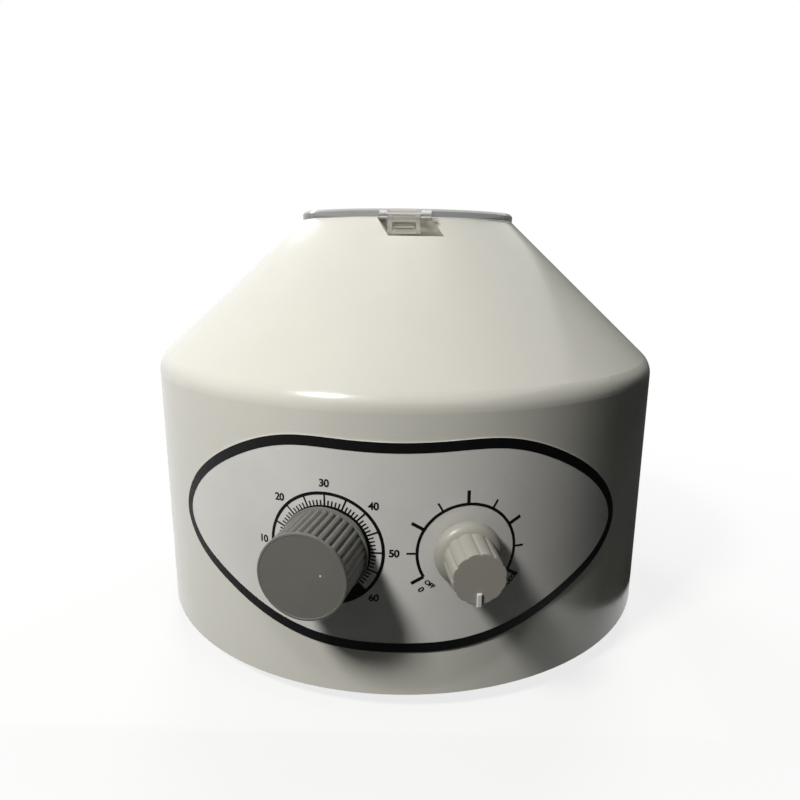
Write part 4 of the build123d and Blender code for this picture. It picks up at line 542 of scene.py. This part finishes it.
def on_wall(along, height, lift):
    """Point on the sheet: arc length from the middle and height become a place in the room."""
    turn = along / LABEL_R
    reach = wall_r(height) + SHEET_T + lift
    return Vector((reach * math.sin(turn), AXIS_Y - reach * math.cos(turn), BASE_Z + height))


def only(piece):
    """Makes one object the only one selected, and the active one."""
    bpy.ops.object.select_all(action="DESELECT")
    piece.select_set(True)
    bpy.context.view_layer.objects.active = piece


def joined(pieces, name):
    """Several figures become one object."""
    only(pieces[0])
    for piece in pieces[1:]:
        piece.select_set(True)
    bpy.ops.object.join()
    figure = bpy.context.active_object
    figure.name = name
    bpy.ops.object.transform_apply(location=True, rotation=True, scale=True)
    return figure


def wrapped(figure, centre_s, centre_h, material):
    """Cuts a flat figure into narrow strips, bends it round the wall and gives the ink its thickness."""
    only(figure)
    bpy.ops.object.mode_set(mode="EDIT")
    bpy.ops.mesh.select_all(action="SELECT")
    bpy.ops.mesh.remove_doubles(threshold=SAME_PLACE)
    bpy.ops.object.mode_set(mode="OBJECT")
    left = min(v.co.x for v in figure.data.vertices)
    right = max(v.co.x for v in figure.data.vertices)
    bpy.ops.object.mode_set(mode="EDIT")
    step = math.ceil((left + centre_s) / CUT_STEP)
    while step * CUT_STEP - centre_s < right:
        bpy.ops.mesh.select_all(action="SELECT")
        bpy.ops.mesh.bisect(plane_co=(step * CUT_STEP - centre_s, 0, 0), plane_no=(1, 0, 0), use_fill=False)
        step += 1
    bpy.ops.object.mode_set(mode="OBJECT")
    for vertex in figure.data.vertices:
        vertex.co = on_wall(vertex.co.x + centre_s, vertex.co.y + centre_h, INK_LIFT)
    body = figure.modifiers.new("thickness", "SOLIDIFY")
    body.thickness = INK_T
    body.offset = -1
    bpy.ops.object.modifier_apply(modifier="thickness")
    figure.data.materials.clear()
    figure.data.materials.append(material)
    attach(figure, "root")
    print(figure.name, len(figure.data.polygons), "faces")


# %% [markdown]
# ## The ink itself
# Screen-printed ink is not quite black: it is a thin, slightly uneven film with a satin surface, a little
# greyer where less of it was pressed through. So it gets the same kind of material as the plastics, only
# much darker.

# %% Ink material
INK_SHINE = 0.18
INK = finish_of("printed_ink", (0.004, 0.004, 0.0045), shade=0.35, rough=(0.42, 0.6),
                grain=1800.0, height=0.006 * MM, cloud=220.0)
INK.node_tree.nodes["Principled BSDF"].inputs["Specular IOR Level"].default_value = INK_SHINE
print("ink ready")

# %% [markdown]
# ## The black border of the sheet
# The border follows the sheet's edge at an even width. The sheet's outline is a closed smooth curve through
# a few points, so the same curve is worked out here: a spline that passes through every point and has no
# kink where it meets itself. A circle of many corners is laid on that curve, and two insets leave an even
# band.

# %% Border of the sheet
# right half of the sheet's outline in millimetres: along the wall from the middle, and up from the dials
SHEET_EDGE = [(0, 44.9), (20, 45.5), (45, 45.3), (70, 37.2), (90, 25.3), (104, 11.1),
              (107.6, -0.9), (100, -12.7), (81, -23.9), (52, -36.6), (26, -42.7), (0, -43.7)]
BORDER_W = 4.2 * MM
BORDER_INSET = 0.35 * MM
EDGE_STEPS = 16


def closed_curve(points, steps):
    """Smooth closed curve through all the points, as a list of points."""
    count = len(points)
    span = [math.dist(points[i], points[(i + 1) % count]) for i in range(count)]
    matrix = np.zeros((count, count))
    wanted = np.zeros((count, 2))
    for i in range(count):
        before, after = span[i - 1], span[i]
        back = (np.array(points[i]) - np.array(points[i - 1])) / before
        on = (np.array(points[(i + 1) % count]) - np.array(points[i])) / after
        matrix[i][(i - 1) % count] = after
        matrix[i][i] = 2 * (before + after)
        matrix[i][(i + 1) % count] = before
        wanted[i] = 3 * (after * back + before * on)
    slope = np.linalg.solve(matrix, wanted)
    curve = []
    for i in range(count):
        start, end = np.array(points[i]), np.array(points[(i + 1) % count])
        for k in range(steps):
            t = k / steps
            curve.append((2 * t**3 - 3 * t**2 + 1) * start + (t**3 - 2 * t**2 + t) * span[i] * slope[i]
                         + (3 * t**2 - 2 * t**3) * end + (t**3 - t**2) * span[i] * slope[(i + 1) % count])
    return curve


right_side = [(LABEL_R * math.sin(s * MM / LABEL_R), up * MM) for s, up in SHEET_EDGE]
left_side = [(-x, up) for x, up in reversed(right_side[1:-1])]
edge = [(LABEL_R * math.asin(x / LABEL_R), up) for x, up in closed_curve(right_side + left_side, EDGE_STEPS)]

bpy.ops.object.select_all(action="DESELECT")
bpy.ops.mesh.primitive_circle_add(vertices=len(edge), radius=LABEL_R, fill_type="NGON")
border = bpy.context.active_object
# the curve runs clockwise and the circle the other way
for vertex, place in zip(border.data.vertices, reversed(edge)):
    vertex.co = Vector((place[0], place[1], 0))
bpy.ops.object.mode_set(mode="EDIT")
bpy.ops.mesh.select_all(action="SELECT")
bpy.ops.mesh.inset(thickness=BORDER_INSET, use_even_offset=True)
bpy.ops.mesh.select_all(action="INVERT")
bpy.ops.mesh.delete(type="FACE")
bpy.ops.mesh.select_all(action="SELECT")
bpy.ops.mesh.inset(thickness=BORDER_W, use_even_offset=True)
bpy.ops.mesh.delete(type="FACE")
bpy.ops.object.mode_set(mode="OBJECT")
border.name = "label_border_ink"
wrapped(border, 0.0, DIAL_Z, INK)

# %% [markdown]
# ## Rings, ticks and numbers
# A dial is a ring, a fan of ticks and some numbers. A ring is a filled circle with an inset and its middle
# taken out. A tick is one small plane, and spinning copies of it round the dial's centre gives the whole
# fan, evenly spaced. Numbers are text objects made into meshes, because flat letters wrap round the wall
# like any other ink. They are swelled a little and then struck twice, a hair apart, which gives the bold
# face of a printed dial without closing the small loops of its figures.

# %% Parts of a dial
RING_CORNERS = 144
LETTER_SWELL = 0.022          # share of the letters' size that thickens every stroke
LETTER_SPACE = 0.95
SECOND_STRIKE = 0.11 * MM     # the letters are struck twice, this far apart, which makes them bold


def flat_ring(inner, outer, start_deg=0.0, sweep_deg=360.0):
    """Flat ring about the dial's centre, or the part of it clockwise from start_deg, with 0 at the top."""
    bpy.ops.object.select_all(action="DESELECT")
    bpy.ops.mesh.primitive_circle_add(vertices=RING_CORNERS, radius=outer, fill_type="NGON")
    ring = bpy.context.active_object
    bpy.ops.object.mode_set(mode="EDIT")
    bpy.ops.mesh.select_all(action="SELECT")
    bpy.ops.mesh.inset(thickness=(outer - inner) * math.cos(math.pi / RING_CORNERS), use_even_offset=True)
    bpy.ops.mesh.delete(type="FACE")
    if sweep_deg < 360:
        bpy.ops.mesh.select_mode(type="FACE")
        bpy.ops.mesh.select_all(action="DESELECT")
        bpy.ops.object.mode_set(mode="OBJECT")
        for face in ring.data.polygons:
            middle = face.center
            turn = math.degrees(math.atan2(middle.x, middle.y))
            face.select = (turn - start_deg) % 360.0 > sweep_deg
        bpy.ops.object.mode_set(mode="EDIT")
        bpy.ops.mesh.delete(type="FACE")
    bpy.ops.object.mode_set(mode="OBJECT")
    return ring


def tick_fan(inner, outer, width, first_deg, sweep_deg, count):
    """A fan of ticks: one narrow plane, copied round the dial's centre."""
    bpy.ops.object.select_all(action="DESELECT")
    bpy.ops.mesh.primitive_plane_add(size=1.0, location=(0, (inner + outer) / 2, 0))
    fan = bpy.context.active_object
    fan.scale = (width, outer - inner, 1)
    bpy.ops.object.transform_apply(location=True, rotation=True, scale=True)
    fan.rotation_euler = (0, 0, -math.radians(first_deg))
    bpy.ops.object.transform_apply(location=True, rotation=True, scale=True)
    bpy.ops.object.mode_set(mode="EDIT")
    bpy.ops.mesh.select_all(action="SELECT")
    bpy.ops.mesh.spin(steps=count - 1, dupli=True, angle=math.radians(sweep_deg), use_auto_merge=False,
                      center=(0, 0, 0), axis=(0, 0, 1))
    bpy.ops.object.mode_set(mode="OBJECT")
    return fan


def dial_word(word, height, turn_deg, reach, lean_deg=0.0):
    """A printed number or word, centred at an angle and a distance from the dial's centre."""
    bpy.ops.object.select_all(action="DESELECT")
    bpy.ops.object.text_add()
    text = bpy.context.active_object
    text.data.body = word
    text.data.align_x = "CENTER"
    text.data.align_y = "CENTER"
    text.data.size = 1.0
    text.data.offset = LETTER_SWELL
    text.data.space_character = LETTER_SPACE
    bpy.ops.object.convert(target="MESH")
    letters = bpy.context.active_object
    low = min(v.co.y for v in letters.data.vertices)
    high = max(v.co.y for v in letters.data.vertices)
    left = min(v.co.x for v in letters.data.vertices)
    right = max(v.co.x for v in letters.data.vertices)
    size = height / (high - low)
    for vertex in letters.data.vertices:
        vertex.co = Vector(((vertex.co.x - (left + right) / 2) * size - SECOND_STRIKE / 2,
                            (vertex.co.y - (low + high) / 2) * size - SECOND_STRIKE / 2, 0))
    bpy.ops.object.mode_set(mode="EDIT")
    bpy.ops.mesh.select_all(action="SELECT")
    bpy.ops.mesh.duplicate_move(TRANSFORM_OT_translate={"value": (SECOND_STRIKE, SECOND_STRIKE, 0)})
    bpy.ops.object.mode_set(mode="OBJECT")
    turn = math.radians(turn_deg)
    letters.location = (reach * math.sin(turn), reach * math.cos(turn), 0)
    letters.rotation_euler = (0, 0, math.radians(lean_deg))
    bpy.ops.object.transform_apply(location=True, rotation=True, scale=True)
    return letters


# %% [markdown]
# ## The timer's dial
# A clock timer runs from 0 to 60 minutes over three quarters of a turn. Every minute has a short tick and
# every fifth a long one, tens are numbered, and the gap between 60 and 0 is filled in black as the off
# position.

# %% Timer dial
MINUTES = 60
LONG_TICK_EVERY = 5
FIGURE_EVERY = 10
FIRST_MINUTE = -135.0       # its angle on the dial, in degrees
MINUTE_SWEEP = 270.0
OUTER_RING = (22.65 * MM, 23.95 * MM)
INNER_RING = (17.2 * MM, 18.4 * MM)
OFF_FIELD = (18.3 * MM, 23.0 * MM)
TICK_IN = 17.7 * MM
MINUTE_TICK = (20.5 * MM, 0.62 * MM)        # outer end and width
LONG_TICK = (23.2 * MM, 0.72 * MM)
FIGURE_H = 3.2 * MM
FIGURE_R = 27.5 * MM

timer_art = [
    flat_ring(*OUTER_RING),
    flat_ring(*INNER_RING),
    flat_ring(*OFF_FIELD, FIRST_MINUTE + MINUTE_SWEEP, 360.0 - MINUTE_SWEEP),
    tick_fan(TICK_IN, *MINUTE_TICK, FIRST_MINUTE, MINUTE_SWEEP, MINUTES + 1),
    tick_fan(TICK_IN, *LONG_TICK, FIRST_MINUTE, MINUTE_SWEEP, MINUTES // LONG_TICK_EVERY + 1),
]
for minute in range(FIGURE_EVERY, MINUTES + 1, FIGURE_EVERY):
    figure_deg = FIRST_MINUTE + MINUTE_SWEEP * minute / MINUTES
    timer_art.append(dial_word(str(minute), FIGURE_H, figure_deg, FIGURE_R))
timer_print = joined(timer_art, "timer_dial_ink")
wrapped(timer_print, LABEL_R * math.radians(TIMER_DEG), DIAL_Z, INK)

# %% [markdown]
# ## The speed dial
# The speed control has an open scale: one arc, nine ticks with every other one heavier, and words only at
# its ends. At the low end the knob clicks the machine off.

# %% Speed dial
SPEED_ARC = (19.3 * MM, 20.5 * MM)
SPEED_TICK_IN = 19.9 * MM
HEAVY_TICK = (25.5 * MM, 1.35 * MM)         # outer end and width
LIGHT_TICK = (24.0 * MM, 0.8 * MM)
SPEED_FIRST = -120.0
SPEED_SWEEP = 240.0
HEAVY_TICKS = 5
TICK_STEP = SPEED_SWEEP / (HEAVY_TICKS - 1) / 2
# word, height, angle on the dial, distance from its centre and lean
SPEED_WORDS = (
    ("OFF", 2.0 * MM, -132.0, 19.8 * MM, -40.0),
    ("0", 2.6 * MM, -130.5, 23.8 * MM, -50.0),
    ("4000", 2.4 * MM, 129.0, 23.9 * MM, 45.0),
)

speed_art = [
    flat_ring(*SPEED_ARC, SPEED_FIRST, SPEED_SWEEP),
    tick_fan(SPEED_TICK_IN, *HEAVY_TICK, SPEED_FIRST, SPEED_SWEEP, HEAVY_TICKS),
    tick_fan(SPEED_TICK_IN, *LIGHT_TICK, SPEED_FIRST + TICK_STEP, SPEED_SWEEP - 2 * TICK_STEP,
             HEAVY_TICKS - 1),
]
for word_row in SPEED_WORDS:
    speed_art.append(dial_word(*word_row))
speed_print = joined(speed_art, "speed_dial_ink")
wrapped(speed_print, LABEL_R * math.radians(SPEED_DEG), DIAL_Z, INK)

# %% [markdown]
# ## The knobs, dressed
# A moulded knob has no sharp corner anywhere: the mould is cut with round tools, and the grip is rubbed
# smooth by hands. The CAD knobs give the size and the place, and these two give what a lens close by picks
# up, which is soft ribs, a rounded rim and a face that sits a hair below it. Each solid grows from one
# circle: it is pulled up step by step and made a little smaller each time, which rounds an edge without the
# pinched corners that a bevel leaves where ribs run into it.

# %% Places on the dials
SPEED_LEAN_DEG = 4.2
SMOOTH_DEG = 32.0           # edges sharper than this stay sharp
SKIRT_CORNERS = 120


def dial_place(turn_deg, lean_deg=0.0):
    """Place on a dial: local X to the right, Y up and Z out of the panel."""
    turn = math.radians(turn_deg)
    facing = math.radians(turn_deg - lean_deg)
    reach = wall_r(DIAL_Z) + SHEET_T
    origin = Vector((reach * math.sin(turn), AXIS_Y - reach * math.cos(turn), BASE_Z + DIAL_Z))
    axes = Matrix(((math.cos(facing), 0, math.sin(facing)),
                   (math.sin(facing), 0, -math.cos(facing)),
                   (0, 1, 0))).to_4x4()
    return Matrix.Translation(origin) @ axes


def stepped_up(corner_r, foot, steps):
    """A solid grown from one ring of corners: each step rises to a height and scales the ring."""
    bpy.ops.object.select_all(action="DESELECT")
    bpy.ops.mesh.primitive_circle_add(vertices=len(corner_r), radius=corner_r[0], fill_type="NGON",
                                      location=(0, 0, foot))
    body = bpy.context.active_object
    bpy.ops.object.transform_apply(location=True, rotation=True, scale=True)
    for corner, reach in zip(body.data.vertices, corner_r):
        corner.co.x *= reach / corner_r[0]
        corner.co.y *= reach / corner_r[0]
    bpy.ops.object.mode_set(mode="EDIT")
    bpy.ops.mesh.select_all(action="SELECT")
    height = foot
    size = 1.0
    for rise, scale in steps:
        bpy.ops.mesh.extrude_region_move(TRANSFORM_OT_translate={"value": (0, 0, rise - height)})
        bpy.ops.transform.resize(value=(scale / size, scale / size, 1), center_override=(0, 0, rise))
        height, size = rise, scale
    bpy.ops.mesh.select_all(action="SELECT")
    bpy.ops.mesh.normals_make_consistent(inside=False)
    bpy.ops.object.mode_set(mode="OBJECT")
    return body


def dressed(piece, name, place, finish, body, node):
    """Puts a finished piece on its dial, in place of the CAD node where it stands for one."""
    only(piece)
    piece.name = name
    bpy.ops.object.shade_smooth_by_angle(angle=math.radians(SMOOTH_DEG))
    piece.data.transform(place)
    piece.data.materials.clear()
    piece.data.materials.append(FINISHES[finish])
    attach(piece, body)
    if node:
        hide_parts(node)
        cad_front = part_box(node)[0][1]
        print(name, "front", round(min(v.co.y for v in piece.data.vertices), 5), "CAD", round(cad_front, 5))


# %% [markdown]
# ### Timer knob
# Thirty-six ribs stand round the grip, with a narrow groove between each two. Six corners make one rib: one
# corner at the bottom of the groove, two that turn out of it and three on the crown. The ribs end under a
# plain round face, whose rim catches the light as one thin line.

# %% Timer knob
RIBS = 36
RIB_STEP = (-1.0, -0.35, 0.0, 0.04, 0.0, -0.35)     # millimetres off the crown, corner by corner
KNOB_R = 17.4 * MM
CROWN_R = 17.34 * MM
KNOB_FOOT = 2.5 * MM
KNOB_TOP = 24.3 * MM
GRIP_TOP = KNOB_TOP - 1.0 * MM
FACE_CORNERS = 144
FACE_FOOT = KNOB_TOP - 1.2 * MM
FACE_SINK = KNOB_TOP - 0.10 * MM
FLANGE_R = 18.3 * MM
FLANGE_FOOT = 1.6 * MM

grip_r = [CROWN_R + RIB_STEP[i % len(RIB_STEP)] * MM for i in range(len(RIB_STEP) * RIBS)]
grip = stepped_up(grip_r, KNOB_FOOT, [(GRIP_TOP, 1.0)])
face = stepped_up([KNOB_R] * FACE_CORNERS, FACE_FOOT,
                  [(KNOB_TOP - 0.40 * MM, 1.0), (KNOB_TOP - 0.12 * MM, 0.993), (KNOB_TOP, 0.966),
                   (KNOB_TOP, 0.948), (FACE_SINK, 0.940), (FACE_SINK, 0.920)])
flange = stepped_up([FLANGE_R] * SKIRT_CORNERS, FLANGE_FOOT,
                    [(2.1 * MM, 1.0), (2.4 * MM, 0.995), (KNOB_FOOT, 0.98)])
timer_skin = joined([grip, face, flange], "timer_knob_skin")
dressed(timer_skin, "timer_knob_skin", dial_place(TIMER_DEG), "grey_knob", "timer_dial",
        "timer_knob")

# %% [markdown]
# The pip on the timer's face is the mark where the plastic ran into the mould. It was twisted off and
# left a shallow, shiny dot, out of the middle. Its pale colour is partly the whitened plastic of the mark
# and partly a painted highlight for the glint that the dot catches.

# %% Mould mark on the timer knob
PIP_R = 0.42 * MM
PIP_CORNERS = 20
PIP_FOOT = KNOB_TOP - 0.3 * MM
PIP_PLACE = (7.4 * MM, 1.6 * MM, 0)

pip = stepped_up([PIP_R] * PIP_CORNERS, PIP_FOOT,
                 [(FACE_SINK, 1.0), (KNOB_TOP - 0.02 * MM, 0.85), (KNOB_TOP, 0.5)])
pip.data.transform(Matrix.Translation(PIP_PLACE))
# painted highlight: the pip is given the pointer's white so that it shows as a bright glint
dressed(pip, "timer_mould_mark_painted_glint", dial_place(TIMER_DEG), "pointer_white", "timer_dial", None)

# %% [markdown]
# ### Speed knob
# This one has a domed skirt and a cap of twelve wide lobes that narrows towards its face. Each lobe is a
# shallow crown between two notches, drawn with eight corners.

# %% Speed knob
LOBES = 12
LOBE_STEP = (-0.36, 0.0, 0.10, 0.16, 0.18, 0.16, 0.10, 0.0)     # millimetres, corner by corner
CAP_R = 10.5 * MM
CAP_FOOT = 3.1 * MM
CAP_TOP = 22.6 * MM
SKIRT_R = 13.5 * MM
SKIRT_FOOT = 1.6 * MM

cap_r = [CAP_R + LOBE_STEP[i % len(LOBE_STEP)] * MM for i in range(len(LOBE_STEP) * LOBES)]
cap = stepped_up(cap_r, CAP_FOOT,
                 [(CAP_TOP - 0.5 * MM, 0.962), (CAP_TOP - 0.25 * MM, 0.958), (CAP_TOP - 0.08 * MM, 0.948),
                  (CAP_TOP, 0.930), (CAP_TOP, 0.900)])
skirt = stepped_up([SKIRT_R] * SKIRT_CORNERS, SKIRT_FOOT,
                   [(3.0 * MM, 1.0), (3.9 * MM, 0.993), (4.8 * MM, 0.958), (5.6 * MM, 0.89),
                    (6.2 * MM, 0.81), (6.6 * MM, 0.71)])
speed_skin = joined([cap, skirt], "speed_knob_skin")
dressed(speed_skin, "speed_knob_skin", dial_place(SPEED_DEG, SPEED_LEAN_DEG), "pale_knob", "speed_dial",
        "speed_knob")
